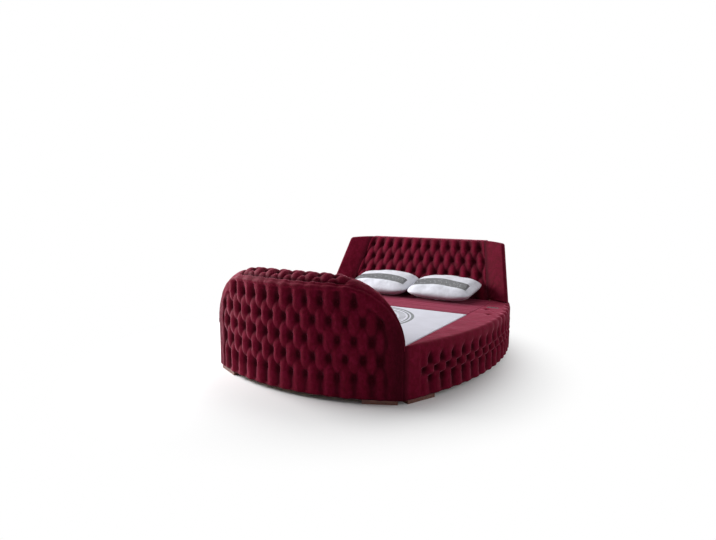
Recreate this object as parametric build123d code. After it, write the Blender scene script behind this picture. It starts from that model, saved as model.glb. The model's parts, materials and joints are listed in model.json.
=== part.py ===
from build123d import *
import os
from math import asin, atan2, cos, degrees, hypot, radians, sin

os.makedirs("parts", exist_ok=True)

# Overall plan, in millimetres. The outline seen from above is a rectangle whose foot and two
# sides swell outwards in shallow arcs that meet at corners. Its back is straight.
zone_half_width = 900.0
foot_bulge = 243.0
side_bulge = 300.0
corner_to_back = 2430.0
deck_height = 435.0
foot_height = 30.0
footboard_height = 850.0
headboard_height = 1022.0

overall_length = foot_bulge + corner_to_back
y_back = overall_length / 2
y_corner = y_back - corner_to_back

# Sheet goods and clearances
panel = 18.0
thin_board = 12.0
deck_board = 15.0
contact_gap = 0.3
button_lift = 3.0
overrun = 20.0

# Upholstery
cover_thickness = 45.0
deck_pad_thickness = 40.0
deck_rim_radius = 32.0
tuft_depth = 28.0
pleat_depth = 14.0
button_radius = 11.0
button_height = 6.0
button_edge = 2.0

# Footboard
footboard_inner_reach = 20.0
inner_cover_thickness = 12.0
footboard_flat_half = 510.0
footboard_end_power = 1.75
footboard_flat_steps = 8
footboard_end_angles = (77.5, 66.5, 55.0, 43.5, 30.0, 15.0, 0.0)
footboard_taper_shares = (1.0, 1.0, 1.0, 0.95, 0.85, 0.65, 0.45)
footboard_tufted_columns = 12
footboard_corner_share = 0.15
footboard_board_inset = 160.0
footboard_rib_margin = 140.0
footboard_rib_count = 5
footboard_rows = 5
footboard_first_row = 180.0
footboard_rim_margin = 70.0
footboard_row_gap = 20.0
band_crown = 58.0
band_tuft = 16.0
band_station_shares = (0.0, 0.2, 0.5, 0.8, 1.0)
band_rise_shares = (0.0, 0.35, 0.75, 1.0, 0.7)
band_end_shares = (0.9, 0.65, 0.4, 0.3, 0.25, 0.2, 0.12, 0.05, 0.0)

# Side decks
side_columns = 39
side_plain_columns = 3
side_rows = 2
side_first_row = 215.0
side_rim_margin = 95.0
side_taper_shares = (0.13, 0.5, 0.85)
side_rib_spacing = 520.0
side_rib_count = 4
side_cleat_width = 25.0
side_cleat_height = 25.0

# Headboard
headboard_foot_y = 2065.0
headboard_top_y = 2320.0
headboard_foot_inset = 70.0
headboard_top_inset = 210.0
headboard_pad = 58.0
headboard_columns = 24
headboard_rows = 4
headboard_first_row = 540.0
headboard_rim_margin = 83.0
headboard_tuft = 26.0
headboard_rib_margin = 90.0
headboard_rib_count = 5
back_cover_thickness = 5.0
top_cover_thickness = 7.0
wing_foot_spread = 215.0
wing_foot_forward = 100.0
wing_top_spread = 226.0
wing_top_drop = 14.0
wing_pad = 26.0
wing_back_cover = 10.0
wing_bracket_shares = (0.28, 0.70)
wing_bracket_reach = 170.0

# Lift-up lid over the storage box
lid_length = 1240.0
lid_foot_gap = 5.0
lid_side_gap = 4.0
lid_pad_thickness = 25.0
lid_pad_edge = 9.0
lid_board_inset = 3.0
lid_tube = 25.0
lid_rail_side_gap = 87.5
lid_rail_inset = 40.0
lid_cross_spacing = 560.0
lid_opening = 50.0

# Hinges along the lid's head edge
hinge_pin_radius = 2.0
hinge_bore_clearance = 0.05
hinge_knuckle_radius = 4.0
hinge_drop = 8.0
hinge_leaf = 1.5
hinge_leaf_gap = 0.25
hinge_leaf_height = 60.0
hinge_knuckle_length = 24.0
hinge_knuckles = 5
hinge_knuckle_gap = 0.5
hinge_spacing = 640.0
hinge_count = 3

# Gas springs
spring_side_gap = 50.0
spring_foot_back = 100.0
spring_foot_drop = 310.0
spring_head_back = 360.0
spring_head_drop = 75.0
spring_tube_radius = 11.0
spring_tube_wall = 1.5
spring_rod_radius = 4.0
spring_guide_clearance = 0.05
spring_eye_radius = 10.0
spring_eye_width = 10.0
spring_stud_radius = 4.0
spring_stud_clearance = 0.05
spring_stud_head = 7.0
spring_stud_head_height = 3.0
spring_tube_length = 280.0
spring_cap_length = 12.0
spring_piston_length = 14.0
spring_rod_tail = 22.0
bracket_plate = 3.0
bracket_height = 56.0
bracket_length = 60.0
bracket_flange = 32.0
bracket_gap = 0.7
bolt_radius = 3.0
bolt_head_radius = 5.5
bolt_head_height = 3.5
bolt_spacing = 40.0
bolt_hole_clearance = 0.2

# Floor of the storage box, bearers and feet
storage_floor_height = 60.0
bearer_width = 44.0
bearer_count = 3
foot_length = 260.0
foot_width = 100.0
foot_inset = 12.0
centre_foot_length = 120.0
foot_corner_gap = 16.0

# Tufts in the side decks, and the power strips let into them. Places are measured outwards from
# the flat zone and back from the corner.
deck_tuft_places = ((157.0, 1381.0), (67.0, 1591.0))
deck_tuft_depth = 8.0
deck_tuft_radius = 40.0
socket_out = 101.0
socket_back = 1690.0
socket_length = 110.0
socket_width = 40.0
socket_rim = 6.0
socket_proud = 1.0
socket_depth = 6.0
socket_plate_thickness = 4.0

# Pillows
pillow_half_depth = 250.0
pillow_thickness = 150.0
pillow_draw_share = 0.07
pillow_tilt = 25.0
pillow_left_margin = 194.0
pillow_right_margin = 60.0
pillow_gap = 14.0
pillow_steps = 10
pillow_swell_power = 0.5

# Levels and places worked out from the sizes above
headboard_foot_half = zone_half_width - headboard_foot_inset
headboard_top_half = zone_half_width - headboard_top_inset
footboard_board_half = zone_half_width - footboard_board_inset
lid_rail_offset = zone_half_width - lid_rail_side_gap
spring_offset = zone_half_width - spring_side_gap
socket_x = zone_half_width + socket_out
pillow_room = 2 * headboard_foot_half - pillow_left_margin - pillow_right_margin - pillow_gap
pillow_half_width = pillow_room / 4
pillow_left_x = pillow_left_margin + pillow_half_width - headboard_foot_half
pillow_right_x = headboard_foot_half - pillow_right_margin - pillow_half_width
y_foot_inner = y_corner + footboard_inner_reach
y_lid_foot = y_foot_inner + lid_foot_gap
y_hinge = y_lid_foot + lid_length + hinge_knuckle_radius + hinge_leaf_gap
z_hinge = deck_height - hinge_drop
deck_board_top = deck_height - deck_pad_thickness
deck_board_low = deck_board_top - deck_board
lid_board_top = deck_height - lid_pad_thickness
lid_board_low = lid_board_top - deck_board
lid_rail_low = lid_board_low - lid_tube
base_board_top = foot_height + panel
y_front_panel = y_foot_inner + panel
y_rear_panel = y_hinge + hinge_leaf_gap + hinge_leaf + hinge_leaf_gap
y_back_panel = y_back - back_cover_thickness - deck_board
headboard_slope = (headboard_top_y - headboard_foot_y) / (headboard_height - deck_height)
headboard_flare = (headboard_foot_half - headboard_top_half) / (headboard_height - deck_height)
footboard_row_room = footboard_height - cover_thickness - footboard_rim_margin - footboard_first_row
footboard_row_step = footboard_row_room / (footboard_rows - 1)
side_row_step = (deck_board_top - side_rim_margin - side_first_row) / (side_rows - 1)
headboard_row_room = headboard_height - headboard_rim_margin - headboard_first_row
headboard_row_step = headboard_row_room / (headboard_rows - 1)
footboard_rib_spacing = 2 * (footboard_board_half - footboard_rib_margin) / (footboard_rib_count - 1)
headboard_rib_spacing = 2 * (headboard_top_half - headboard_rib_margin) / (headboard_rib_count - 1)


class Bulge:
    """An arc seen from above that swells to the right of the way from start to end."""

    def __init__(self, start, end, rise):
        length = hypot(end[0] - start[0], end[1] - start[1])
        self.radius = (length**2 / 4 + rise**2) / (2 * rise)
        self.half_angle = asin(length / 2 / self.radius)
        self.along = ((end[0] - start[0]) / length, (end[1] - start[1]) / length)
        self.out = (self.along[1], -self.along[0])
        back = self.radius - rise
        self.centre = tuple((start[i] + end[i]) / 2 - self.out[i] * back for i in (0, 1))
        self.length = 2 * self.half_angle * self.radius

    def outward(self, share):
        """The outward direction at a share of the way."""
        turn = (2 * share - 1) * self.half_angle
        return tuple(cos(turn) * self.out[i] + sin(turn) * self.along[i] for i in (0, 1))

    def point(self, share, inset=0):
        """The point at a share of the way, moved inwards by inset."""
        out = self.outward(share)
        return tuple(self.centre[i] + (self.radius - inset) * out[i] for i in (0, 1))


foot_arc = Bulge((-zone_half_width, y_corner), (zone_half_width, y_corner), foot_bulge)
side_arc = Bulge((zone_half_width, y_corner), (zone_half_width, y_back), side_bulge)
corner_turn = radians(90) - foot_arc.half_angle - side_arc.half_angle
corner_inward = (-sin(foot_arc.half_angle + corner_turn / 2), cos(foot_arc.half_angle + corner_turn / 2))
largest_column = side_arc.length / side_columns
board_inset = cover_thickness + contact_gap + largest_column**2 / (8 * foot_arc.radius)


def save(name, *solids):
    """Write one node, a single solid or a group of separate ones."""
    shape = solids[0] if len(solids) == 1 else Compound(list(solids))
    export_step(shape, f"parts/{name}.step")


def save_pair(name, solid):
    """Write a right-hand piece and its mirror image on the left."""
    save(f"{name}_right", solid)
    save(f"{name}_left", mirror(solid, about=Plane.YZ))


def save_both(name, *solids):
    """Write right-hand pieces and their mirror images on the left as one group."""
    save(name, *solids, *[mirror(solid, about=Plane.YZ) for solid in solids])


def block(x0, x1, y0, y1, z0, z1):
    """A box between two corners."""
    middle = ((x0 + x1) / 2, (y0 + y1) / 2, (z0 + z1) / 2)
    return Pos(*middle) * Box(abs(x1 - x0), abs(y1 - y0), abs(z1 - z0))


def closed_solid(outlines):
    """One solid closed by flat outlines, each a list of points."""
    faces = [Face(Wire.make_polygon(points, close=True)) for points in outlines]
    return Solid(Shell(faces))


def quad(a, b, c, d):
    """Two triangles that fill a four-sided gap."""
    return [(a, b, c), (a, c, d)]


def prism(points, direction):
    """A flat outline swept along a direction."""
    return Solid.extrude(Face(Wire.make_polygon(points, close=True)), Vector(*direction))


def quilted_solid(place, heights, depths, thicknesses):
    """A padded skin: outer points pressed in by their depths, and a plain face behind."""
    columns = range(len(heights))
    levels = range(len(heights[0]))
    outer = [[place(k, depths[k][j], heights[k][j]) for j in levels] for k in columns]
    inner = [[place(k, thicknesses[k], heights[k][j]) for j in (0, -1)] for k in columns]
    outlines = []
    for k in columns[:-1]:
        for j in levels[:-1]:
            a, b, c, d = outer[k][j], outer[k + 1][j], outer[k + 1][j + 1], outer[k][j + 1]
            if depths[k][j] + depths[k + 1][j + 1] >= depths[k + 1][j] + depths[k][j + 1]:
                outlines += [(a, b, c), (a, c, d)]
            else:
                outlines += [(a, b, d), (b, c, d)]
        outlines += quad(inner[k][0], inner[k][1], inner[k + 1][1], inner[k + 1][0])
        outlines += quad(outer[k][0], outer[k + 1][0], inner[k + 1][0], inner[k][0])
        outlines += quad(outer[k][-1], outer[k + 1][-1], inner[k + 1][1], inner[k][1])
    for k in (0, -1):
        outlines.append(outer[k] + [inner[k][1], inner[k][0]])
    return closed_solid(outlines)


def tuft_depths(column, plain, hem_to_rim_rows, deep):
    """Depths up one column: a pleat at the hem and the rim, and a tuft on every other row."""
    rows = range(hem_to_rim_rows)
    pressed = [deep if (column + row) % 2 == 1 else 0 for row in rows]
    pleats = [pleat_depth if (column + row) % 2 == 1 else 0 for row in (0, hem_to_rim_rows - 1)]
    depths = [pleats[0]] + pressed + [pleats[1]]
    return [0 for depth in depths] if plain else depths


def button(point, outward):
    """One covered button whose back faces inwards."""
    disc = Cylinder(button_radius, button_height)
    disc = fillet(disc.edges().sort_by(Axis.Z)[-1], button_edge)
    seat = Plane(origin=Vector(*point), z_dir=Vector(*outward))
    return seat * Pos(0, 0, button_height / 2) * disc


def settled(disc, cover, outward):
    """A button moved inwards until it all but touches its cover."""
    travel = disc.distance_to(cover) - contact_gap
    inward = Vector(*outward).normalized() * -travel
    return Pos(*inward) * disc


def tuft_buttons(cover, place, outward, heights, depths, widths, deep):
    """A button settled into each tuft of a cover."""
    buttons = []
    for k in range(1, len(heights) - 1):
        room = min(widths[k - 1], widths[k])
        back = deep - deep * button_radius / room - button_lift
        for j in range(1, len(heights[k]) - 1):
            if depths[k][j] == deep:
                disc = button(place(k, back, heights[k][j]), outward(k))
                buttons.append(settled(disc, cover, outward(k)))
    return buttons


def profile_point(angle, inset):
    """A point on the falling end of the footboard, as x and z, moved inwards by inset."""
    reach = zone_half_width - footboard_flat_half - inset
    rise = footboard_height - deck_height - inset
    power = 2 / footboard_end_power
    swing = abs(cos(radians(angle))) ** power if angle < 90 else 0
    return footboard_flat_half + reach * swing, deck_height + rise * sin(radians(angle)) ** power


def footboard_profile(inset):
    """The footboard's top line from left to right, as x and z."""
    step = footboard_flat_half / footboard_flat_steps
    top = footboard_height - inset
    flat = [(k * step, top) for k in range(footboard_flat_steps + 1)]
    right = flat + [profile_point(angle, inset) for angle in footboard_end_angles]
    return [(-x, z) for x, z in reversed(right[1:])] + right


def foot_share(x):
    """The share of the foot arc at an x."""
    return (asin(x / foot_arc.radius) / foot_arc.half_angle + 1) / 2


def foot_line_y(x):
    """The y of the foot outline at an x."""
    return foot_arc.point(foot_share(x))[1]


def footboard_outer_cover():
    """The deep-tufted velvet face of the footboard, and its buttons."""
    rims = footboard_profile(cover_thickness)
    rims = [(-zone_half_width, deck_height)] + rims + [(zone_half_width, deck_height)]
    middle = len(rims) // 2
    tapers = [1.0] * (footboard_flat_steps + 1) + list(footboard_taper_shares)
    tapers.append(footboard_corner_share)
    heights, depths, thicknesses = [], [], []
    for k, (x, rim) in enumerate(rims):
        column = abs(k - middle)
        pressed = tuft_depths(column, column > footboard_tufted_columns, footboard_rows, tuft_depth)
        rows = []
        for row in range(footboard_rows):
            level = footboard_first_row + row * footboard_row_step
            under_rim = rim - (footboard_rows - row) * footboard_row_gap
            rows.append(min(level, under_rim))
            if under_rim < level:
                pressed[row + 1] = 0
        heights.append([foot_height] + rows + [rim])
        depths.append(pressed)
        thicknesses.append(cover_thickness * tapers[column])

    def place(k, depth, height):
        x = rims[k][0]
        if abs(x) < zone_half_width:
            return (*foot_arc.point(foot_share(x), depth), height)
        slant = depth / cos(corner_turn / 2)
        side = 1 if x > 0 else -1
        return (x + side * slant * corner_inward[0], y_corner + slant * corner_inward[1], height)

    def outward(k):
        return (*foot_arc.outward(foot_share(rims[k][0])), 0)

    widths = [rims[k + 1][0] - rims[k][0] for k in range(len(rims) - 1)]
    cover = quilted_solid(place, heights, depths, thicknesses)
    return cover, tuft_buttons(cover, place, outward, heights, depths, widths, tuft_depth)


def footboard_band():
    """The crowned, pleated band over the footboard's top and down its two ends."""
    tops = footboard_profile(0)
    seats = footboard_profile(cover_thickness)
    middle = len(tops) // 2
    crowned = middle - len(band_end_shares)
    last = len(band_station_shares) - 1
    upper, lower, pressed = [], [], []
    for k, ((x, z), (seat_x, seat_z)) in enumerate(zip(tops, seats)):
        line = foot_line_y(x)
        width = y_foot_inner - line
        away = hypot(x - seat_x, z - seat_z)
        normal = ((x - seat_x) / away, (z - seat_z) / away)
        row, sunk = [], []
        column = abs(k - middle)
        crown = 1 if column <= crowned else band_end_shares[column - crowned - 1]
        for j, share in enumerate(band_station_shares):
            tuft = band_tuft if j == last // 2 and column % 2 == 0 else 0
            rise = (band_crown * band_rise_shares[j] - tuft) * crown
            y = line + share * width
            row.append((x + normal[0] * rise, y, z + normal[1] * rise))
            sunk.append(tuft)
        upper.append(row)
        pressed.append(sunk)
        seat_line = foot_line_y(seat_x)
        lower.append([(seat_x, seat_line, seat_z), (seat_x, y_foot_inner, seat_z)])
    outlines = []
    for k in range(len(tops) - 1):
        for j in range(last):
            a, b, c, d = upper[k][j], upper[k + 1][j], upper[k + 1][j + 1], upper[k][j + 1]
            if pressed[k][j] + pressed[k + 1][j + 1] >= pressed[k + 1][j] + pressed[k][j + 1]:
                outlines += [(a, b, c), (a, c, d)]
            else:
                outlines += [(a, b, d), (b, c, d)]
        outlines += quad(lower[k][0], lower[k][1], lower[k + 1][1], lower[k + 1][0])
        outlines += quad(upper[k][0], upper[k + 1][0], lower[k + 1][0], lower[k][0])
        outlines += quad(upper[k][last], upper[k + 1][last], lower[k + 1][1], lower[k][1])
    for k in (0, -1):
        outlines += [(upper[k][j], upper[k][j + 1], lower[k][0]) for j in range(last)]
        outlines.append((upper[k][last], lower[k][1], lower[k][0]))
    return closed_solid(outlines)


def disc_prism(arc, inset, z0, z1):
    """A round slab of an arc's full circle, moved inwards by inset."""
    slab = Cylinder(arc.radius - inset, z1 - z0)
    return Pos(arc.centre[0], arc.centre[1], (z0 + z1) / 2) * slab


def profile_prism(inset, half_width, y0, y1, low):
    """The footboard's front view, moved inwards by inset, between two y planes."""
    line = [(x, z) for x, z in footboard_profile(inset) if abs(x) < half_width]
    edge = profile_height(half_width, inset)
    line = [(-half_width, low), (-half_width, edge)] + line + [(half_width, edge), (half_width, low)]
    return prism([(x, y0, z) for x, z in line], (0, y1 - y0, 0))


def profile_height(x, inset):
    """The height of the footboard's faceted top line at an x."""
    line = footboard_profile(inset)
    for (x0, z0), (x1, z1) in zip(line, line[1:]):
        if x0 <= x <= x1:
            return z0 + (z1 - z0) * (x - x0) / (x1 - x0)
    return deck_height


def make_footboard():
    cover, buttons = footboard_outer_cover()
    save("footboard_outer_cover", cover)
    save("footboard_buttons", *buttons)
    save("footboard_band", footboard_band())

    y_inner_board = y_foot_inner - inner_cover_thickness
    y_front = y_corner - foot_bulge - overrun
    inner_half = footboard_profile(cover_thickness)[-1][0]
    lining = profile_prism(cover_thickness, inner_half, y_inner_board, y_foot_inner, deck_height)
    skirt = block(-zone_half_width + overrun, zone_half_width - overrun,
                  y_inner_board, y_foot_inner, foot_height, deck_height)
    save("footboard_inner_cover", lining + skirt)

    top_board = cover_thickness + thin_board
    y_board_face = y_inner_board - panel
    inner_board = profile_prism(top_board, footboard_board_half, y_board_face, y_inner_board, base_board_top)
    save("footboard_inner_board", inner_board)

    hollow = disc_prism(foot_arc, board_inset + thin_board, foot_height, footboard_height)
    full = disc_prism(foot_arc, board_inset, base_board_top, footboard_height)
    outer_view = profile_prism(top_board, footboard_board_half, y_front, y_board_face, base_board_top)
    outer_board = (full - hollow) & outer_view
    save("footboard_outer_board", outer_board)

    strip = profile_prism(cover_thickness, footboard_board_half, y_front, y_inner_board, deck_height)
    under = profile_prism(top_board, footboard_board_half + overrun, y_front - overrun,
                          y_inner_board + overrun, base_board_top - overrun)
    round_all = disc_prism(foot_arc, board_inset, foot_height, footboard_height)
    save("footboard_top_board", (strip - under) & round_all)

    base = disc_prism(foot_arc, board_inset, foot_height, base_board_top)
    base = base & block(-footboard_board_half, footboard_board_half, y_front, y_inner_board,
                        foot_height, base_board_top)
    save("footboard_base_board", base)

    ribs = []
    inside = disc_prism(foot_arc, board_inset + thin_board, base_board_top, footboard_height)
    view = profile_prism(top_board, footboard_board_half, y_front, y_board_face, base_board_top)
    for index in range(footboard_rib_count):
        x = (index - (footboard_rib_count - 1) / 2) * footboard_rib_spacing
        sheet = block(x - panel / 2, x + panel / 2, y_front, y_board_face, base_board_top, footboard_height)
        ribs.append((sheet & inside & view).solids()[0])
    save("footboard_ribs", *ribs)


def side_slab(inset, z0, z1, x_inner=zone_half_width + contact_gap):
    """The side deck's plan, moved inwards from the outline by inset, between two heights."""
    reach = zone_half_width + side_bulge + overrun
    keep = block(x_inner, reach, y_corner, y_back, z0, z1)
    return (disc_prism(side_arc, inset, z0, z1) & keep).solids()[0]


def side_skirt():
    """The tufted velvet skirt of the right side deck, and its buttons."""
    tapers = list(side_taper_shares)
    tapers = tapers + [1.0] * (side_columns + 1 - 2 * len(tapers)) + tapers[::-1]
    rows = [side_first_row + row * side_row_step for row in range(side_rows)]
    heights, depths, thicknesses = [], [], []
    for k in range(side_columns + 1):
        plain = k < side_plain_columns or k > side_columns - side_plain_columns
        heights.append([foot_height] + rows + [deck_board_top])
        depths.append(tuft_depths(k, plain, side_rows, tuft_depth))
        thicknesses.append(cover_thickness * tapers[k])

    def place(k, depth, height):
        if k == side_columns:
            return (zone_half_width + contact_gap, y_back - depth / sin(side_arc.half_angle), height)
        if k > 0:
            return (*side_arc.point(k / side_columns, depth), height)
        slant = depth / cos(corner_turn / 2)
        corner = side_arc.point(0)
        return (corner[0] + slant * corner_inward[0], corner[1] + slant * corner_inward[1], height)

    def outward(k):
        return (*side_arc.outward(k / side_columns), 0)

    widths = [largest_column] * side_columns
    cover = quilted_solid(place, heights, depths, thicknesses)
    return cover, tuft_buttons(cover, place, outward, heights, depths, widths, tuft_depth)


def socket_pocket(margin, z0, z1):
    """A block at the power strip's place, made smaller all round by margin."""
    y = y_corner + socket_back
    return block(socket_x - socket_length / 2 + margin, socket_x + socket_length / 2 - margin,
                 y - socket_width / 2 + margin, y + socket_width / 2 - margin, z0, z1)


def make_side_decks():
    cover, buttons = side_skirt()
    save_pair("side_skirt", cover)

    pad = side_slab(0, deck_board_top, deck_height)
    rim = pad.edges().filter_by(GeomType.CIRCLE).sort_by(Axis.Z)[-1]
    pad = fillet(rim, deck_rim_radius)
    pocket_low = deck_height - socket_depth
    pad = pad - socket_pocket(0, pocket_low, deck_height + overrun)
    seat = deck_height - deck_tuft_depth * (1 - button_radius / deck_tuft_radius) + contact_gap
    for out, back in deck_tuft_places:
        x, y = zone_half_width + out, y_corner + back
        dimple = Cone(0, deck_tuft_radius, deck_tuft_depth)
        pad = pad - Pos(x, y, deck_height - deck_tuft_depth / 2) * dimple
        buttons.append(button((x, y, seat), (0, 0, 1)))
    save_pair("side_deck_pad", pad)
    save_both("side_buttons", *buttons)
    bezel_top = deck_height + socket_proud
    bezel = socket_pocket(0, pocket_low, bezel_top)
    save_both("socket_bezels", bezel - socket_pocket(socket_rim, pocket_low, bezel_top + overrun))
    plate_top = pocket_low + socket_plate_thickness
    save_both("socket_plates", socket_pocket(socket_rim, pocket_low, plate_top))

    save_both("side_deck_boards", side_slab(board_inset, deck_board_low, deck_board_top))
    save_both("side_base_boards", side_slab(board_inset, foot_height, base_board_top))
    outer = side_slab(board_inset, base_board_top, deck_board_low)
    hollow = disc_prism(side_arc, board_inset + thin_board, foot_height, deck_board_top)
    save_both("side_outer_boards", (outer - hollow).solids()[0])
    inside = side_slab(board_inset + thin_board, base_board_top, deck_board_low)
    cleat_low = deck_board_low - side_cleat_height
    cleat_out = zone_half_width + side_cleat_width
    ribs = []
    for index in range(side_rib_count):
        y = (y_corner + y_back) / 2 + (index - (side_rib_count - 1) / 2) * side_rib_spacing
        reach = zone_half_width + side_bulge
        keep = block(zone_half_width, reach, y - panel / 2, y + panel / 2, base_board_top, deck_board_low)
        notch = block(zone_half_width, cleat_out, y - panel, y + panel, cleat_low, deck_board_low)
        ribs.append(((inside & keep) - notch).solids()[0])
    save_both("side_ribs", *ribs)
    cleat = inside & block(zone_half_width, cleat_out, y_corner, y_back, cleat_low, deck_board_low)
    save_both("side_cleats", cleat.solids()[0])


def headboard_y(z):
    """The y of the headboard's leaning front at a height."""
    return y_corner + headboard_foot_y + (z - deck_height) * headboard_slope


def headboard_half(z):
    """The half width of the headboard's centre panel at a height."""
    return headboard_foot_half - (z - deck_height) * headboard_flare


def leaning_slab(front, back, z0, z1):
    """A slab that leans with the headboard, from front to back behind its face."""
    corners = []
    for side, z in ((-1, z0), (1, z0), (1, z1), (-1, z1)):
        corners.append((side * headboard_half(z), headboard_y(z) + front, z))
    return prism(corners, (0, back - front, 0))


def make_headboard():
    levels = [headboard_first_row + row * headboard_row_step for row in range(headboard_rows)]
    heights = [[deck_board_top] + levels + [headboard_height]] * (headboard_columns + 1)
    depths = []
    for k in range(headboard_columns + 1):
        plain = k in (0, headboard_columns)
        depths.append(tuft_depths(k + 1, plain, headboard_rows, headboard_tuft))
    thicknesses = [headboard_pad] * (headboard_columns + 1)

    def place(k, depth, height):
        x = (2 * k / headboard_columns - 1) * headboard_half(height)
        return (x, headboard_y(height) + depth, height)

    def outward(k):
        return (0, -1, headboard_slope)

    widths = [2 * headboard_top_half / headboard_columns] * headboard_columns
    cover = quilted_solid(place, heights, depths, thicknesses)
    save("headboard_pad", cover)
    buttons = tuft_buttons(cover, place, outward, heights, depths, widths, headboard_tuft)
    save("headboard_buttons", *buttons)

    board_top = headboard_height - top_cover_thickness
    board_back = headboard_pad + deck_board
    save("headboard_front_board", leaning_slab(headboard_pad, board_back, deck_board_top, board_top))
    ribs = []
    for index in range(headboard_rib_count):
        x = (index - (headboard_rib_count - 1) / 2) * headboard_rib_spacing - panel / 2
        outline = [(x, headboard_y(deck_board_top) + board_back, deck_board_top),
                   (x, y_back_panel, deck_board_top),
                   (x, y_back_panel, board_top),
                   (x, headboard_y(board_top) + board_back, board_top)]
        ribs.append(prism(outline, (panel, 0, 0)))
    save("headboard_ribs", *ribs)
    end = [(headboard_half(z), y, z) for y, z in [point[1:] for point in outline]]
    save_both("headboard_end_boards", prism(end, (-thin_board, 0, 0)))
    y_cover = y_back - back_cover_thickness
    cover_front = headboard_y(headboard_height) + headboard_pad
    save("headboard_top_cover", block(-headboard_top_half, headboard_top_half, cover_front, y_cover,
                                      board_top, headboard_height))

    half = zone_half_width - panel
    back_view = [(-half, foot_height), (half, foot_height), (half, deck_height),
                 (headboard_foot_half, deck_height), (headboard_half(board_top), board_top),
                 (-headboard_half(board_top), board_top), (-headboard_foot_half, deck_height),
                 (-half, deck_height)]
    save("back_panel", prism([(x, y_back_panel, z) for x, z in back_view], (0, deck_board, 0)))
    cover_view = [(x, headboard_height if z == board_top else z) for x, z in back_view]
    save("back_cover", prism([(x, y_cover, z) for x, z in cover_view], (0, back_cover_thickness, 0)))


def make_wings():
    """The two plain wings that run forwards and outwards from the headboard's folds."""
    foot = deck_height + contact_gap
    top = headboard_height - wing_top_drop
    inner_low = (headboard_half(foot), headboard_y(foot), foot)
    inner_high = (headboard_half(headboard_height), headboard_y(headboard_height), headboard_height)
    outer_low = (headboard_foot_half + wing_foot_spread,
                 y_corner + headboard_foot_y - wing_foot_forward, foot)
    a = Vector(*inner_high) - Vector(*inner_low)
    b = Vector(*outer_low) - Vector(*inner_low)
    normal = a.cross(b)
    dx = wing_top_spread
    dz = top - inner_high[2]
    outer_high = (inner_high[0] + dx, inner_high[1] - (normal.X * dx + normal.Z * dz) / normal.Y, top)
    run = Vector(b.X, b.Y, 0).normalized()
    back = Vector(-run.Y, run.X, 0)
    outline = [inner_low, outer_low, outer_high, inner_high]

    def layer(front, rear):
        points = [tuple(Vector(*point) + back * front) for point in outline]
        return prism(points, tuple(back * (rear - front)))

    board_back = wing_pad + deck_board
    wing_back = board_back + wing_back_cover
    save_pair("wing_pad", layer(0, wing_pad))
    save_both("wing_boards", layer(wing_pad, board_back))
    save_both("wing_back_covers", layer(board_back, wing_back))

    brackets = []
    for share in wing_bracket_shares:
        z = deck_height + (headboard_height - deck_height) * share
        half = headboard_half(z)
        y = headboard_y(z + panel) + wing_back * (back.Y + back.X * back.X / back.Y) + contact_gap
        y_rear = min(y + wing_bracket_reach, y_back_panel)
        outline = [(half, y, z), (half + run.X * wing_bracket_reach, y + run.Y * wing_bracket_reach, z),
                   (half, y_rear, z)]
        brackets.append(prism(outline, (0, 0, panel)))
    save_both("wing_brackets", *brackets)


def make_storage_box():
    inner = zone_half_width - panel
    lid_seat = lid_board_low - contact_gap
    y_side = y_front_panel
    side = block(inner, zone_half_width, y_side, y_back_panel, foot_height, lid_seat)
    side_head = block(inner, zone_half_width, y_rear_panel, y_back_panel, lid_seat, deck_board_top)
    side_rest = side + side_head
    pilot = bolt_radius - bolt_hole_clearance
    for centre in base_bolt_places():
        hole = Pos(zone_half_width - panel / 2, *centre) * Rot(0, 90, 0) * Cylinder(pilot, panel * 2)
        side_rest = side_rest - hole
    save_both("storage_side_panels", side_rest)
    save("storage_front_panel", block(-inner, inner, y_foot_inner, y_front_panel, foot_height, lid_seat))
    save("storage_rear_panel", block(-inner, inner, y_rear_panel, y_rear_panel + panel,
                                     foot_height, deck_board_low))
    save("storage_floor", block(-inner, inner, y_front_panel, y_rear_panel,
                                storage_floor_height, storage_floor_height + thin_board))
    bearers = []
    feet = []
    bay = (y_rear_panel - y_front_panel) / bearer_count
    for index in range(bearer_count):
        y = y_rear_panel - bay / 2 - index * bay
        bearers.append(block(-inner, inner, y - bearer_width / 2, y + bearer_width / 2,
                             foot_height, storage_floor_height))
        feet.append(block(-centre_foot_length / 2, centre_foot_length / 2, y - bearer_width / 2,
                          y + bearer_width / 2, 0, foot_height))
    save("storage_bearers", *bearers)
    support_y = (y_rear_panel + panel + y_back_panel) / 2
    save("head_support_panel", block(-inner, inner, support_y - panel / 2, support_y + panel / 2,
                                     foot_height, deck_board_low))
    feet.append(block(-centre_foot_length / 2, centre_foot_length / 2, support_y - bearer_width / 2,
                      support_y + bearer_width / 2, 0, foot_height))
    save("centre_feet", *feet)
    save("head_deck_board", block(-inner, inner, y_rear_panel, y_back_panel,
                                  deck_board_low, deck_board_top))
    pad_back = headboard_y(deck_board_top) - contact_gap
    pad_front = y_hinge + hinge_knuckle_radius + hinge_leaf_gap
    pad = block(-zone_half_width, zone_half_width, pad_front, pad_back, deck_board_top, deck_height)
    pad = fillet(pad.edges().filter_by(Axis.X).group_by(Axis.Z)[-1], lid_pad_edge / 3)
    save("head_deck_pad", pad)


def foot_block(arc, share):
    """A long low wooden foot that follows the outline at a share of its arc."""
    place = arc.point(share, foot_inset + foot_width / 2)
    out = arc.outward(share)
    turn = degrees(atan2(out[1], out[0]))
    body = Box(foot_width, foot_length, foot_height)
    return Pos(place[0], place[1], foot_height / 2) * Rot(0, 0, turn) * body


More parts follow.
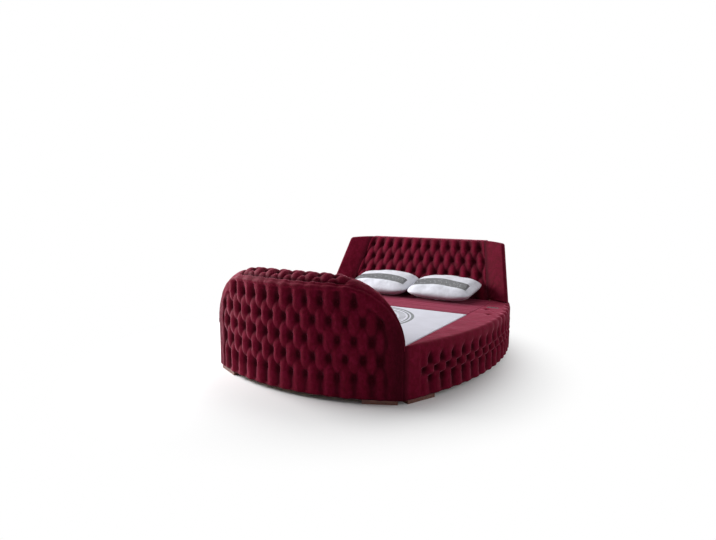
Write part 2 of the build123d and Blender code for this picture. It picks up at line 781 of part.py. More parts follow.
def make_feet():
    """Feet near both ends of the foot arc and of each side arc."""
    reach = foot_length / 2 + foot_corner_gap + foot_width * sin(corner_turn / 2)
    footboard_foot = foot_block(foot_arc, 1 - reach / foot_arc.length)
    front_foot = foot_block(side_arc, reach / side_arc.length)
    rear_foot = foot_block(side_arc, 1 - 2 * reach / side_arc.length)
    save_both("corner_feet", footboard_foot, front_foot, rear_foot)


def make_lid():
    half = zone_half_width - lid_side_gap
    y_head = y_lid_foot + lid_length
    pad = block(-half, half, y_lid_foot, y_head, lid_board_top, deck_height)
    pad = fillet(pad.edges().group_by(Axis.Z)[-1], lid_pad_edge)
    save("lid_pad", pad)
    y_leaf = y_hinge - hinge_leaf_gap - hinge_leaf
    board_head = y_leaf
    board_half = half - lid_board_inset
    board_foot = y_lid_foot + lid_board_inset
    save("lid_board", block(-board_half, board_half, board_foot, board_head, lid_board_low, lid_board_top))
    front = y_front_panel + lid_rail_inset
    rail_out = lid_rail_offset + lid_tube / 2
    rail_in = lid_rail_offset - lid_tube / 2
    wall = lid_tube / 10
    side = block(rail_in, rail_out, front, board_head, lid_rail_low, lid_board_low)
    side = side - block(rail_in + wall, rail_out - wall, front - overrun, board_head + overrun,
                        lid_rail_low + wall, lid_board_low - wall)
    save_both("lid_side_rails", side)
    rails = []
    for y in (front, front + lid_cross_spacing, board_head - lid_tube):
        rail = block(-rail_in, rail_in, y, y + lid_tube, lid_rail_low, lid_board_low)
        rail = rail - block(-rail_in - overrun, rail_in + overrun, y + wall, y + lid_tube - wall,
                            lid_rail_low + wall, lid_board_low - wall)
        rails.append(rail.solids()[0])
    save("lid_cross_rails", *rails)


def hinge_half(x, moving):
    """One leaf of a butt hinge with its share of the knuckles."""
    side = -1 if moving else 1
    near = y_hinge + side * hinge_leaf_gap
    far = near + side * hinge_leaf
    pitch = hinge_knuckle_length
    start = x - hinge_knuckles * pitch / 2
    clear = hinge_knuckle_radius + hinge_leaf_gap
    leaf = block(start, start + hinge_knuckles * pitch, min(near, far), max(near, far),
                 z_hinge - hinge_leaf_height, z_hinge - clear)
    for index in range(hinge_knuckles):
        if (index % 2 == 0) == moving:
            continue
        x0 = start + index * pitch + hinge_knuckle_gap / 2
        x1 = x0 + pitch - hinge_knuckle_gap
        neck = block(x0, x1, min(near, far), max(near, far), z_hinge - clear - hinge_leaf, z_hinge)
        barrel = Pos((x0 + x1) / 2, y_hinge, z_hinge) * Rot(0, 90, 0)
        leaf = leaf + neck + barrel * Cylinder(hinge_knuckle_radius, x1 - x0)
    bore = Pos(x, y_hinge, z_hinge) * Rot(0, 90, 0)
    leaf = leaf - bore * Cylinder(hinge_pin_radius + hinge_bore_clearance, hinge_knuckles * pitch + overrun)
    return leaf.solids()[0]


def make_hinges():
    places = [(index - (hinge_count - 1) / 2) * hinge_spacing for index in range(hinge_count)]
    save("lid_hinge_leaves", *[hinge_half(x, True) for x in places])
    save("base_hinge_leaves", *[hinge_half(x, False) for x in places])
    length = hinge_knuckles * hinge_knuckle_length
    turn = Rot(0, 90, 0)
    pins = [Pos(x, y_hinge, z_hinge) * turn * Cylinder(hinge_pin_radius, length) for x in places]
    save("hinge_pins", *[pin.solids()[0] for pin in pins])


def base_bolt_places():
    """The y and z of the bolts that hold a gas spring's lower bracket."""
    y = y_hinge - spring_foot_back
    z = z_hinge - spring_foot_drop
    return [(y - bolt_spacing / 2, z), (y + bolt_spacing / 2, z)]


def stud(x0, x1, y, z):
    """A round stud between two x planes."""
    return Pos((x0 + x1) / 2, y, z) * Rot(0, 90, 0) * Cylinder(spring_stud_radius, abs(x1 - x0))


def eye(y, z):
    """A flat round eye in the gas spring's plane."""
    ring = Cylinder(spring_eye_radius, spring_eye_width)
    ring = ring - Cylinder(spring_stud_radius + spring_stud_clearance, spring_eye_width * 2)
    return Pos(spring_offset, y, z) * Rot(0, 90, 0) * ring


def spring_bar(start, finish, radius):
    """A round bar along the right-hand gas spring, between two distances from its lower eye."""
    foot = (y_hinge - spring_foot_back, z_hinge - spring_foot_drop)
    head = (y_hinge - spring_head_back, z_hinge - spring_head_drop)
    length = hypot(head[0] - foot[0], head[1] - foot[1])
    way = ((head[0] - foot[0]) / length, (head[1] - foot[1]) / length)
    origin = (spring_offset, foot[0] + way[0] * start, foot[1] + way[1] * start)
    axis = Plane(origin=origin, z_dir=(0, *way))
    return axis * Pos(0, 0, (finish - start) / 2) * Cylinder(radius, finish - start), length, foot, head


def make_gas_springs():
    bore = spring_tube_radius - spring_tube_wall
    tube_start = spring_eye_radius
    tube_end = tube_start + spring_tube_length
    tube, length, foot, head = spring_bar(tube_start, tube_end, spring_tube_radius)
    tube = tube - spring_bar(tube_start + spring_cap_length, tube_end - spring_cap_length, bore)[0]
    tube = tube - spring_bar(tube_end - spring_cap_length - overrun, tube_end + overrun,
                             spring_rod_radius + spring_guide_clearance)[0]
    neck = spring_bar(spring_stud_radius * 2, tube_start + spring_cap_length / 2, spring_rod_radius)[0]
    tube = tube + neck + eye(*foot)
    save_pair("gas_spring_tube", tube.solids()[0])

    rod_start = tube_start + spring_cap_length + spring_rod_tail
    rod = spring_bar(rod_start, length - spring_stud_radius * 2, spring_rod_radius)[0]
    piston = spring_bar(rod_start, rod_start + spring_piston_length, bore - spring_guide_clearance)[0]
    save_pair("gas_spring_rod", (rod + piston + eye(*head)).solids()[0])

    wall = zone_half_width - panel
    lower = block(wall - bracket_plate, wall, foot[0] - bracket_length / 2, foot[0] + bracket_length / 2,
                  foot[1] - bracket_height / 2, foot[1] + bracket_height / 2)
    eye_face = spring_offset - spring_eye_width / 2
    lower = lower + stud(wall - bracket_plate, eye_face - contact_gap, *foot)
    head_x = eye_face - contact_gap - spring_stud_head_height / 2
    cap = Pos(head_x, *foot) * Rot(0, 90, 0) * Cylinder(spring_stud_head, spring_stud_head_height)
    lower = lower + cap
    bolts = []
    for place in base_bolt_places():
        hole = Cylinder(bolt_radius + bolt_hole_clearance, bracket_plate * 4)
        lower = lower - Pos(wall, *place) * Rot(0, 90, 0) * hole
        shank_end = wall + panel * 2 / 3
        shank_start = wall - bracket_plate
        pilot = bolt_radius - bolt_hole_clearance * 2
        shank = Cylinder(pilot, shank_end - shank_start)
        bolt = Pos((shank_start + shank_end) / 2, *place) * Rot(0, 90, 0) * shank
        bolt_head = Cylinder(bolt_head_radius, bolt_head_height)
        bolt = bolt + Pos(shank_start - bolt_head_height / 2, *place) * Rot(0, 90, 0) * bolt_head
        bolts.append(bolt.solids()[0])
    save_both("spring_lower_brackets", lower.solids()[0])
    save_both("bracket_bolts", *bolts)

    plate_x = spring_offset + spring_eye_width / 2 + bracket_gap + spring_stud_radius
    plate_low = head[1] - spring_eye_radius
    upper = block(plate_x, plate_x + bracket_plate, head[0] - bracket_length / 2,
                  head[0] + bracket_length / 2, plate_low, lid_board_low)
    flange = block(plate_x + bracket_plate - bracket_flange, plate_x + bracket_plate,
                   head[0] - bracket_length / 2, head[0] + bracket_length / 2,
                   lid_board_low - bracket_plate, lid_board_low)
    peg = stud(plate_x, spring_offset + spring_eye_width / 2 + bracket_gap, *head)
    save_both("spring_upper_brackets", (upper + flange + peg).solids()[0])


def pillow(x_middle):
    """A plump pillow with drawn-in sides that lies on the head deck and leans on the headboard."""
    count = pillow_steps
    span = range(count + 1)
    tilt = radians(pillow_tilt)

    def local(i, j, face):
        u = sin(radians(90) * (2 * i / count - 1))
        v = sin(radians(90) * (2 * j / count - 1))
        x = pillow_half_width * u * (1 - pillow_draw_share * (1 - v * v) * u * u)
        y = pillow_half_depth * v * (1 - pillow_draw_share * (1 - u * u) * v * v)
        swell = abs((1 - u * u) * (1 - v * v)) ** pillow_swell_power
        z = face * pillow_thickness / 2 * swell
        return x, y * cos(tilt) - z * sin(tilt), y * sin(tilt) + z * cos(tilt)

    points = {(i, j, f): local(i, j, f) for i in span for j in span for f in (-1, 1)}
    for i in span:
        for j in span:
            if i in (0, count) or j in (0, count):
                points[i, j, -1] = points[i, j, 1]
    lift = deck_height + contact_gap - min(point[2] for point in points.values())
    reach = min(headboard_y(point[2] + lift) - point[1] for point in points.values()) - contact_gap

    def at(i, j, face):
        x, y, z = points[i, j, face]
        return x + x_middle, y + reach, z + lift

    outlines = []
    for face in (-1, 1):
        for i in range(count):
            for j in range(count):
                a, b = at(i, j, face), at(i + 1, j, face)
                c, d = at(i + 1, j + 1, face), at(i, j + 1, face)
                if (i < count / 2) == (j < count / 2):
                    outlines += [(a, b, c), (a, c, d)]
                else:
                    outlines += [(a, b, d), (b, c, d)]
    return closed_solid(outlines)


make_footboard()
make_side_decks()
make_headboard()
make_wings()
make_storage_box()
make_feet()
make_lid()
make_hinges()
make_gas_springs()
save("pillow_left", pillow(pillow_left_x))
save("pillow_right", pillow(pillow_right_x))
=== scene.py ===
import json
import math
from functools import partial, reduce
import bmesh
import bpy
import numpy as np
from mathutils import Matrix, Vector


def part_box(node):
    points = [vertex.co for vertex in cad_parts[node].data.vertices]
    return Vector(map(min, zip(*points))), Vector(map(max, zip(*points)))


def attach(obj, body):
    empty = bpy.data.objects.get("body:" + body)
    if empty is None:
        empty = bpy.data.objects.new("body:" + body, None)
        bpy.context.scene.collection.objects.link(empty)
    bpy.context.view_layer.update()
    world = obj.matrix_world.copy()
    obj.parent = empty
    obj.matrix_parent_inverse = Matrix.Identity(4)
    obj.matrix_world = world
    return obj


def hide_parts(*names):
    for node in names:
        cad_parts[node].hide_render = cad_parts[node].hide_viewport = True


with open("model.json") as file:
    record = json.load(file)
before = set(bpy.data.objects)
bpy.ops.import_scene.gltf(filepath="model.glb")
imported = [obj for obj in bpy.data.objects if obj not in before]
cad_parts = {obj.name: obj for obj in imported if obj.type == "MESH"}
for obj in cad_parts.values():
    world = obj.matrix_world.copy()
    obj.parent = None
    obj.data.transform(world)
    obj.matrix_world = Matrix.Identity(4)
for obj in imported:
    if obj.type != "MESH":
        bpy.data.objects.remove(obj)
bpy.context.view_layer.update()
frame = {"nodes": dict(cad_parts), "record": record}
nodes = frame["nodes"]

# Main sizes of the bed in metres, with y running from the footboard to the headboard
HALF = 0.900
FOOT_BULGE = 0.243  # how far the outline swells
SIDE_BULGE = 0.300
LENGTH = 2.430  # from the corners to the back
Y_BACK = (LENGTH + FOOT_BULGE) / 2
Y_CORNER = Y_BACK - LENGTH
Y_INNER = Y_CORNER + 0.020  # the footboard's inner side
DECK = 0.435
HEM = 0.030
COVER_LOW = 0.395 + 0.002  # just above the pads' underside
FOOT_TOP = 0.850
HEAD_TOP = 1.022
HEAD_FOOT_Y = Y_CORNER + 2.065  # the headboard's front at the deck
HEAD_LEAN = (2.320 - 2.065) / (HEAD_TOP - DECK)
HEAD_FOOT_HALF = 0.830  # half the width of its middle panel there
HEAD_FLARE = (0.830 - 0.690) / (HEAD_TOP - DECK)


# Shapes

OCTAVES = 3
WELD = 1e-5
# Crease depths at which painted shade on the velvet begins and at which it is full
SHADE_START = 0.004
SHADE_FULL = 0.030


class Arc:
    """An outline arc seen from above that swells to the right of the way from start to end."""

    def __init__(self, start, end, rise):
        start = np.array(start)
        end = np.array(end)
        length = np.linalg.norm(end - start)
        self.radius = (length**2 / 4 + rise**2) / (2 * rise)
        self.half_angle = math.asin(length / 2 / self.radius)
        self.along = (end - start) / length
        self.out = np.array((self.along[1], -self.along[0]))
        self.centre = (start + end) / 2 - self.out * (self.radius - rise)
        self.length = 2 * self.half_angle * self.radius

    def outward(self, share):
        turn = (2 * np.asarray(share) - 1) * self.half_angle
        return np.cos(turn)[..., None] * self.out + np.sin(turn)[..., None] * self.along

    def point(self, share):
        return self.centre + self.radius * self.outward(share)


foot_arc = Arc((-HALF, Y_CORNER), (HALF, Y_CORNER), FOOT_BULGE)
side_arc = Arc((HALF, Y_CORNER), (HALF, Y_BACK), SIDE_BULGE)
corner_turn = math.pi / 2 - foot_arc.half_angle - side_arc.half_angle
mitre_turn = foot_arc.half_angle + corner_turn / 2
MITRE = np.array((-math.sin(mitre_turn), math.cos(mitre_turn), 0.0))


def smooth(low, high, value):
    """A smooth step from 0 at low to 1 at high."""
    t = np.clip((np.asarray(value, float) - low) / (high - low), 0, 1)
    return t * t * (3 - 2 * t)


def bell(offset, width):
    """A hump of height 1 that has fallen to 1/e at the width."""
    return np.exp(-((offset / width) ** 2))


def hashed(i, j, seed):
    """A repeatable value from 0 to 1 for each whole-number cell."""
    n = (i * 374761393 + j * 668265263 + seed * 974634777) & 0xFFFFFFFF
    n = ((n ^ (n >> 13)) * 1274126177) & 0xFFFFFFFF
    return ((n ^ (n >> 16)) & 0xFFFF) / 65535.0


def noise2(x, y, seed):
    """Smooth noise from -1 to 1 over a plane, one hump per unit."""
    x, y = np.broadcast_arrays(np.asarray(x, float), np.asarray(y, float))
    i = np.floor(x).astype(np.int64)
    j = np.floor(y).astype(np.int64)
    u = smooth(0, 1, x - i)
    v = smooth(0, 1, y - j)
    low, high = (hashed(i, k, seed) * (1 - u) + hashed(i + 1, k, seed) * u for k in (j, j + 1))
    return 2 * (low * (1 - v) + high * v) - 1


def ripples(x, y, seed):
    """Noise with finer noise on top of it."""
    return sum(
        noise2(x * 2**level, y * 2**level, seed + level) / 2**level for level in range(OCTAVES)
    )


def rounding(gap, radius):
    """How far a surface is drawn in at a gap from its edge, so that the edge is round."""
    return radius - np.sqrt(radius**2 - (radius - np.minimum(gap, radius)) ** 2)


def eased(count):
    """Values from -1 to 1, closer together towards both ends."""
    return np.sin(np.linspace(-math.pi / 2, math.pi / 2, count))


def unit(vectors):
    """Vectors at length 1."""
    return vectors / np.maximum(np.linalg.norm(vectors, axis=-1, keepdims=True), 1e-12)


def normals_of(grid):
    """The unit normals of a grid of points."""
    return unit(np.cross(np.gradient(grid, axis=0), np.gradient(grid, axis=1)))


def flat(vectors):
    """Rows of x and y as points or directions with z at 0."""
    return np.pad(vectors, ((0, 0), (0, 1)))


def points_at(x, y, z):
    """Points from their coordinates, which may be shared by many points."""
    return np.stack(np.broadcast_arrays(x, y, z), -1)


def add_object(name, data):
    """A new object in the scene."""
    made = bpy.data.objects.new(name, data)
    bpy.context.scene.collection.objects.link(made)
    return made


def new_object(name, points, faces, painted_shade=None):
    """A smooth-shaded mesh object with doubled points welded.

    The last argument says for each point how much painted shade it gets, from 0 to 1: how far it
    lies in a crease, along a hem or in another shaded place; the velvet darkens its colour there.
    """
    mesh = bpy.data.meshes.new(name)
    mesh.from_pydata([tuple(map(float, p)) for p in points], [], faces)
    if painted_shade is not None:
        values = mesh.attributes.new("painted_shade", "FLOAT", "POINT").data
        values.foreach_set("value", np.asarray(painted_shade, np.float32))
    piece = add_object(name, mesh)
    work = bmesh.new()
    work.from_mesh(mesh)
    bmesh.ops.remove_doubles(work, verts=work.verts, dist=WELD)
    work.to_mesh(mesh)
    work.free()
    for polygon in mesh.polygons:
        polygon.use_smooth = True
    return piece


def places_of(piece):
    """The places of a piece's points as rows."""
    return np.array([v.co[:] for v in piece.data.vertices])


def move_to(piece, points):
    """Gives a piece's points new places."""
    piece.data.vertices.foreach_set("co", points.ravel())
    piece.data.update()


def merge(parts):
    """Joins grids of points, each with its winding, into one list of points and faces."""
    points = []
    faces = []
    for grid, flip in parts:
        index = len(points) + np.arange(grid[..., 0].size).reshape(grid.shape[:2])
        quads = np.stack([index[:-1, :-1], index[1:, :-1], index[1:, 1:], index[:-1, 1:]], -1)
        faces.extend((quads[..., ::-1] if flip else quads).reshape(-1, 4).tolist())
        points.extend(grid.reshape(-1, 3))
    return points, faces


def painted_shade_of(grids, depths, others=0.0):
    """The painted shade of several grids, from 0 to 1, from crease depths: the first one's depths,
    and one depth for the others.
    """
    levels = [depths] + [np.full(grid[..., 0].size, others) for grid in grids[1:]]
    return np.concatenate([smooth(SHADE_START, SHADE_FULL, level).ravel() for level in levels])


def hem_shade(base):
    """Painted shade along a cover's hem, where its lower edge lies in shadow, as a depth of crease.
    """
    return SHADE_FULL * (1 - smooth(HEM, HEM + 0.014, base[:, :, 2]))


def both_sides(name, points, faces, painted_shade):
    """A piece on the right and its mirror image on the left, each with its side's name."""
    mirrored = [(-x, y, z) for x, y, z in points]
    right = new_object(f"{name}_right", points, faces, painted_shade)
    left = new_object(f"{name}_left", mirrored, [face[::-1] for face in faces], painted_shade)
    return (right, "right"), (left, "left")


def way_to(a, b):
    """The direction from a to b, and the most of the way that a trim may take."""
    size = np.maximum(np.linalg.norm(b - a, axis=1, keepdims=True), 1e-9)
    return (b - a) / size, size * 0.48


def rounded_sheet(corners, trims, counts, bends):
    """Sweeps a broken line with rounded corners over many stations.

    corners is stations by points by 3, trims how far each corner is cut back, counts the steps
    on each straight, and bends those round each inner corner. It returns the grid and a place
    for each sample: straight k is from k + 0.02 to k + 0.98, and a bend between two straights.
    """
    samples = []
    places = []
    last = corners.shape[1] - 1
    for k in range(last):
        a = corners[:, k]
        b = corners[:, k + 1]
        way, most = way_to(a, b)
        start = a + way * np.minimum(trims[:, k, None], most)
        end = b - way * np.minimum(trims[:, k + 1, None], most)
        for step in range(counts[k] + 1):
            if step == 0 and k > 0 and bends[k - 1] == 0:
                continue
            share = step / counts[k]
            samples.append(start * (1 - share) + end * share)
            places.append(k + 0.02 + 0.96 * share)
        if k + 1 < last and bends[k]:
            way, most = way_to(b, corners[:, k + 2])
            after = b + way * np.minimum(trims[:, k + 1, None], most)
            for step in range(1, bends[k]):
                share = step / bends[k]
                turn = (1 - share) ** 2, 2 * share * (1 - share), share**2
                samples.append(end * turn[0] + b * turn[1] + after * turn[2])
                places.append(k + 0.98 + 0.04 * share)
    return np.stack(samples, axis=1), np.array(places)


# Deep buttoning

PUFF = 0.003
HALO = 0.30
BUTTON_RADIUS = 0.0112
BUTTON_HEIGHT = 0.006
BUTTON_RINGS = 4
BUTTON_SIDES = 14
# Painted shade on the buttons, as dark as in the pits they sit in
BUTTON_SHADE = 0.85


def tufting(a, b, along, rows, pitch, rise, crease, pit, spread, pleat):
    """Depth of a deep-buttoned cover, with a button where a + b is even and b is in the rows.

    a counts half columns along the cover and b rows up it, pitch and rise metres long. Soft
    creases run between neighbouring buttons, and on beyond the rows as upright pleats, pleat
    times as deep. Each button sits in a pit, spread wide and high.
    """
    a = a + 0.05 * noise2(a * 1.3, along * 9, 5)
    inside = np.clip(b, 0, rows - 1)
    beyond = smooth(0.05, 0.5, np.abs(b - inside))
    s = (a + inside) / 2
    t = (a - inside) / 2
    plump = np.abs(np.sin(np.pi * s) * np.sin(np.pi * t)) ** (0.75 - 0.15 * beyond)
    whole_s = np.round(s)
    whole_t = np.round(t)
    across = (a - whole_s - whole_t) * pitch
    up = (b - whole_s + whole_t) * rise
    away = np.hypot(across / spread[0], up / spread[1])
    body = 0.85 + 0.22 * noise2(whole_s + 0.37, whole_t + 0.41, 9)
    groove = crease * (1 - plump) * body * (1 + (pleat - 1) * beyond)
    hollow = pit * np.exp(-(away**2) / 2) + pit * HALO * np.exp(-away / 1.6)
    return groove + hollow - PUFF * plump * (1 - beyond)


def button_domes(name, seats):
    """Small domed buttons, each given by its place and outward direction."""
    turns = np.linspace(0, 2 * math.pi, BUTTON_SIDES + 1)
    lifts = np.linspace(0, math.pi / 2, BUTTON_RINGS + 1)
    turn, lift = (values[..., None] for values in np.meshgrid(turns, lifts, indexing="ij"))
    domes = []
    for place, out in seats:
        out = unit(np.array(out, float))
        first = unit(np.cross(out, (0.0, 1.0, 0.0) if abs(out[2]) > 0.9 else (0.0, 0.0, 1.0)))
        spoke = first * np.cos(turn) + np.cross(out, first) * np.sin(turn)
        dome = out * BUTTON_HEIGHT * np.sin(lift) + spoke * BUTTON_RADIUS * np.cos(lift)
        domes.append((place + dome, False))
    points, faces = merge(domes)
    # The buttons are painted in shade all over
    return new_object(name, points, faces, painted_shade=[BUTTON_SHADE] * len(points))


def seats_on(face, grid, base, a, b, depth, rows, least):
    """Where the buttons sit on a face: each lattice point that is pressed in deeply."""
    grid, base, a, b, depth = (values[:, face] for values in (grid, base, a, b, depth))
    seats = []
    normals = normals_of(base)
    low, high = math.ceil(a.min()), math.floor(a.max())
    for row in range(rows):
        for column in range(low + (low + row) % 2, high + 1, 2):
            i = int(np.argmin(np.abs(a[:, 0] - column)))
            j = int(np.argmin(np.abs(b[i] - row)))
            if depth[i, j] > least:
                seats.append((grid[i, j], normals[i, j]))
    return seats


# Footboard: one cover from the hem up the face, over the band and down the inner side

END_POWER = 1.75
FLAT_HALF = 0.510
FLAT_STEPS = 8
HALF_PITCH = FLAT_HALF / FLAT_STEPS
END_ANGLES = (90.0, 77.5, 66.5, 55.0, 43.5, 30.0, 15.0, 0.0)
LAST_STATION = 15
FOOT_ROWS = 5
FOOT_FIRST_ROW = 0.180
FOOT_ROW_STEP = 0.13875
FOOT_TUFTS = dict(crease=0.0145, pit=0.024, spread=(0.0195, 0.025), pleat=1.8)
HEM_TURN = 0.020  # the cloth turned in under a hem
HEM_ROUND = 0.012
HEM_FADE = 0.035
GROOVE = 0.016  # radius of the edges where footboard and side meet
# Depth of painted shade at the corners where the footboard and the sides meet
CORNER_SHADE = 0.025
# The band on top
BAND_RECESS = 0.045
BAND_ROUND = 0.026
BAND_WIDTH = 0.263
BAND_CROWN = 0.080
CROWN_STATIONS = (6.4, 7.2, 8, 9, 10, 12, 14, 15)
CROWN_SHARES = (1, 0.78, 0.55, 0.4, 0.3, 0.2, 0.05, 0)
CROWN_REAR = 0.7
CROWN_FRONT = 0.46
BAND_BUTTONS = range(-6, 7, 2)
BAND_TUFTS = dict(crease=0.019, pit=0.0, spread=(0.015, 0.020), pleat=1.8)


def foot_profile(station, inset):
    """x and z of the footboard's top line at a station counted in half columns."""
    size = np.abs(station)
    angle = np.radians(np.interp(size, range(FLAT_STEPS, LAST_STATION + 1), END_ANGLES))
    reach = HALF - FLAT_HALF - inset
    swing = np.maximum(np.cos(angle), 0) ** (2 / END_POWER)
    x = np.where(size <= FLAT_STEPS, size * HALF_PITCH, FLAT_HALF + reach * swing)
    z = DECK + (FOOT_TOP - DECK - inset) * np.sin(angle) ** (2 / END_POWER)
    return np.sign(station) * x, z


def foot_y(x):
    """y of the foot outline at an x."""
    return foot_arc.centre[1] - np.sqrt(foot_arc.radius**2 - x**2)


def foot_out(x):
    """The outward direction of the foot outline at an x, as rows of three."""
    share = (np.arcsin(np.clip(x / foot_arc.radius, -1, 1)) / foot_arc.half_angle + 1) / 2
    return flat(foot_arc.outward(share))


def foot_face(lattice, row, along, base, places, size, rim):
    """Depth of the buttoned face, fainter at the hem, at the lip and under the sloping ends."""
    depth = tufting(lattice, row, along, FOOT_ROWS, HALF_PITCH, FOOT_ROW_STEP, **FOOT_TUFTS)
    below_rim = rim[:, None] - base[:, :, 2]
    outer_ends = smooth(9.0, 10.0, size)[:, None]
    depth = depth * (1 - outer_ends * (1 - smooth(0.015, 0.060, below_rim)))
    depth = depth * (0.4 + 0.6 * smooth(HEM, HEM + HEM_FADE, base[:, :, 2]))
    return depth * (1 - 0.7 * bell(places - 2.85, 0.38))[None, :]


def foot_band(lattice, share, along, size, width):
    """Depth of the band's pleats and of the pits of its one row of buttons."""
    row = FOOT_ROWS - 1 + 2 * share
    depth = tufting(lattice, row, along, FOOT_ROWS + 2, HALF_PITCH, 0.12, **BAND_TUFTS)
    odd = np.round((lattice - 1) / 2) * 2 + 1
    near = np.hypot((lattice - odd) * HALF_PITCH, (share - 0.5) * width[:, None])
    depth = depth + 0.018 * np.exp(-((near / 0.016) ** 2) / 2)
    middle = (1 - smooth(7.0, 8.0, size))[:, None]
    return depth * middle * (0.15 + 0.85 * smooth(0.03, 0.24, share))


def foot_end(index, side, base, grid, places, hem, x):
    """The wall that closes the cover at one end, tucked in along the corner with the side."""
    run = np.where((places > 1.97) & (places < 4.0))[0]
    rise = np.where(places < 1.99)[0]
    line = base[index, run]
    out = unit(np.gradient(line, axis=0))
    out = np.stack([out[:, 1], -out[:, 0], out[:, 2] * 0], 1) * side
    out[0] = foot_out(x[[index]])[0]
    inset = np.linalg.norm(base[index, rise, :2] - hem[index, :2], axis=1)
    corner = np.array((HALF * side, Y_CORNER))
    tucked = rounding(np.linalg.norm(line[:, :2] - corner, axis=1), GROOVE)
    line = line + MITRE * np.array((side, 1, 0)) * tucked[:, None]
    strip = line[:, None, :] - out[:, None, :] * inset[None, :, None]
    strip[:, :, 2] = base[index, rise, 2][None, :]
    strip[0] = grid[index, rise]
    return strip


def make_footboard():
    """The footboard's cover and its buttons.

    Place 0 is under the hem, 1 the face, 2 the lip, 3 the band, 4 and 5 the inner side.
    """
    half = np.concatenate([np.linspace(0, 14, 169), np.linspace(14, LAST_STATION, 13)[1:]])
    stations = np.concatenate([-half[:0:-1], half])
    size = np.abs(stations)
    count = len(stations)
    seat_x, seat_z = foot_profile(stations, BAND_RECESS)
    top_x, top_z = foot_profile(stations, 0)
    seat_y, top_y = foot_y(seat_x), foot_y(top_x)
    width = Y_INNER - top_y
    raised = np.interp(size, CROWN_STATIONS, CROWN_SHARES) * BAND_CROWN
    lift_x = (top_x - seat_x) / BAND_RECESS * raised * CROWN_REAR
    lift_z = (top_z - seat_z) / BAND_RECESS * raised * CROWN_REAR
    hem = points_at(seat_x, seat_y, HEM)
    corners = np.stack([
        hem - foot_out(seat_x) * HEM_TURN,
        hem,
        points_at(seat_x, seat_y, seat_z),
        points_at(top_x, top_y, top_z),
        points_at(top_x + lift_x, Y_INNER, top_z + lift_z),
        points_at(seat_x, Y_INNER, seat_z),
        points_at(seat_x, Y_INNER, COVER_LOW),
    ], axis=1)
    trims = np.zeros((count, 7))
    trims[:, 1] = HEM_ROUND
    trims[:, 3:5] = np.minimum(BAND_ROUND, width * 0.4)[:, None]
    base, places = rounded_sheet(corners, trims, (3, 120, 6, 44, 4, 30), (4, 0, 8, 6, 0))

    row = (base[:, :, 2] - FOOT_FIRST_ROW) / FOOT_ROW_STEP
    share = np.clip((places - 3.02) / 0.96, 0, 1)[None, :]
    band = (places >= 3.0)[None, :]
    row = np.where((places > 2.0)[None, :] & ~band, np.maximum(row, FOOT_ROWS - 0.5), row)
    row = np.where(band, FOOT_ROWS - 0.5, row)
    lattice = (stations[:, None] + 1) * np.ones_like(row)
    steps = np.linalg.norm(np.diff(base[count // 2], axis=0), axis=1)
    along = np.concatenate([[0], np.cumsum(steps)])[None, :] * np.ones_like(row)
    face = foot_face(lattice, row, along, base, places, size, seat_z)
    top = foot_band(lattice, share, along, size, width)
    blend = smooth(2.9, 3.12, places)[None, :]
    depth = face * (1 - blend) + top * blend
    depth = depth * (1 - smooth(4.0, 4.6, places))[None, :]
    depth = depth * (1 - smooth(12.3, 13.1, size))[:, None]
    valley = 0.020 * bell(share - 0.15, 0.05) * (1 - smooth(7.2, 8.4, size))[:, None]
    seam = 0.010 * bell(size[:, None] - 7.5 - 0.5 * share, 0.16) * smooth(0.05, 0.2, share)
    depth = depth + (valley + seam) * band * (places < 4)[None, :]

    crown = raised[:, None] * CROWN_FRONT * (4 * share**1.2 * (1 - share**1.2)) ** 0.8
    crown = crown + 0.010 * (width / BAND_WIDTH)[:, None] * (4 * share * (1 - share)) ** 0.7
    cloth = 0.0016 * ripples(lattice * 1.7, along * 16, 21)
    cloth = cloth * (1 - smooth(14.2, 14.9, size))[:, None]
    move = (crown - depth + cloth) * smooth(0.5, 1.05, places)[None, :]
    normals = normals_of(base)
    grid = base + normals * move[:, :, None]

    right, left = (
        foot_end(index, side, base, grid, places, hem, seat_x) for index, side in ((-1, 1), (0, -1))
    )
    # Painted shade: darker in the pits and creases, along the hem, and towards both ends near the
    # corners
    shade = depth + hem_shade(base) + CORNER_SHADE * smooth(9.0, 15.0, size)[:, None]
    painted_shade = painted_shade_of([grid, right, left], shade, CORNER_SHADE)
    parts = [(grid, False), (right, False), (left, True)]
    cover = new_object("footboard_cover", *merge(parts), painted_shade=painted_shade)
    seats = seats_on(places < 2.0, grid, base, lattice, row, depth, FOOT_ROWS, least=0.018)
    j = int(np.argmin(np.abs(share[0] - 0.5)))
    for column in BAND_BUTTONS:
        i = int(np.argmin(np.abs(stations - column)))
        seats.append((grid[i, j], normals[i, j]))
    return cover, button_domes("footboard_button_domes", seats)


footboard_cover, footboard_domes = make_footboard()
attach(footboard_cover, "base")
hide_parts("footboard_outer_cover", "footboard_band", "footboard_inner_cover")
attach(footboard_domes, "base")
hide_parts("footboard_buttons")


# Side decks: one cover from the hem up the skirt, over the rim and across the deck

SIDE_COLUMNS = 39
SIDE_ROWS = 3
SIDE_FIRST_ROW = 0.157
SIDE_ROW_STEP = 0.065
SIDE_TUFTS = dict(crease=0.015, pit=0.026, spread=(0.0185, 0.0180), pleat=1.9)
SIDE_ENDS = np.array([0, 0.012, 0.03, 0.06, 0.1, 0.15, 0.22, 0.3, 0.4])
SIDE_INNER = HALF + 0.0003
LEAST_REACH = 0.0004
RIM_ROUND = 0.040
INNER_ROUND = 0.005
DECK_TUFTS = ((1.057, Y_CORNER + 1.381), (0.967, Y_CORNER + 1.591))
SOCKET = (1.001, Y_CORNER + 1.690)
SOCKET_HALF = (0.0525, 0.0175)
SOCKET_DEEP = 0.008


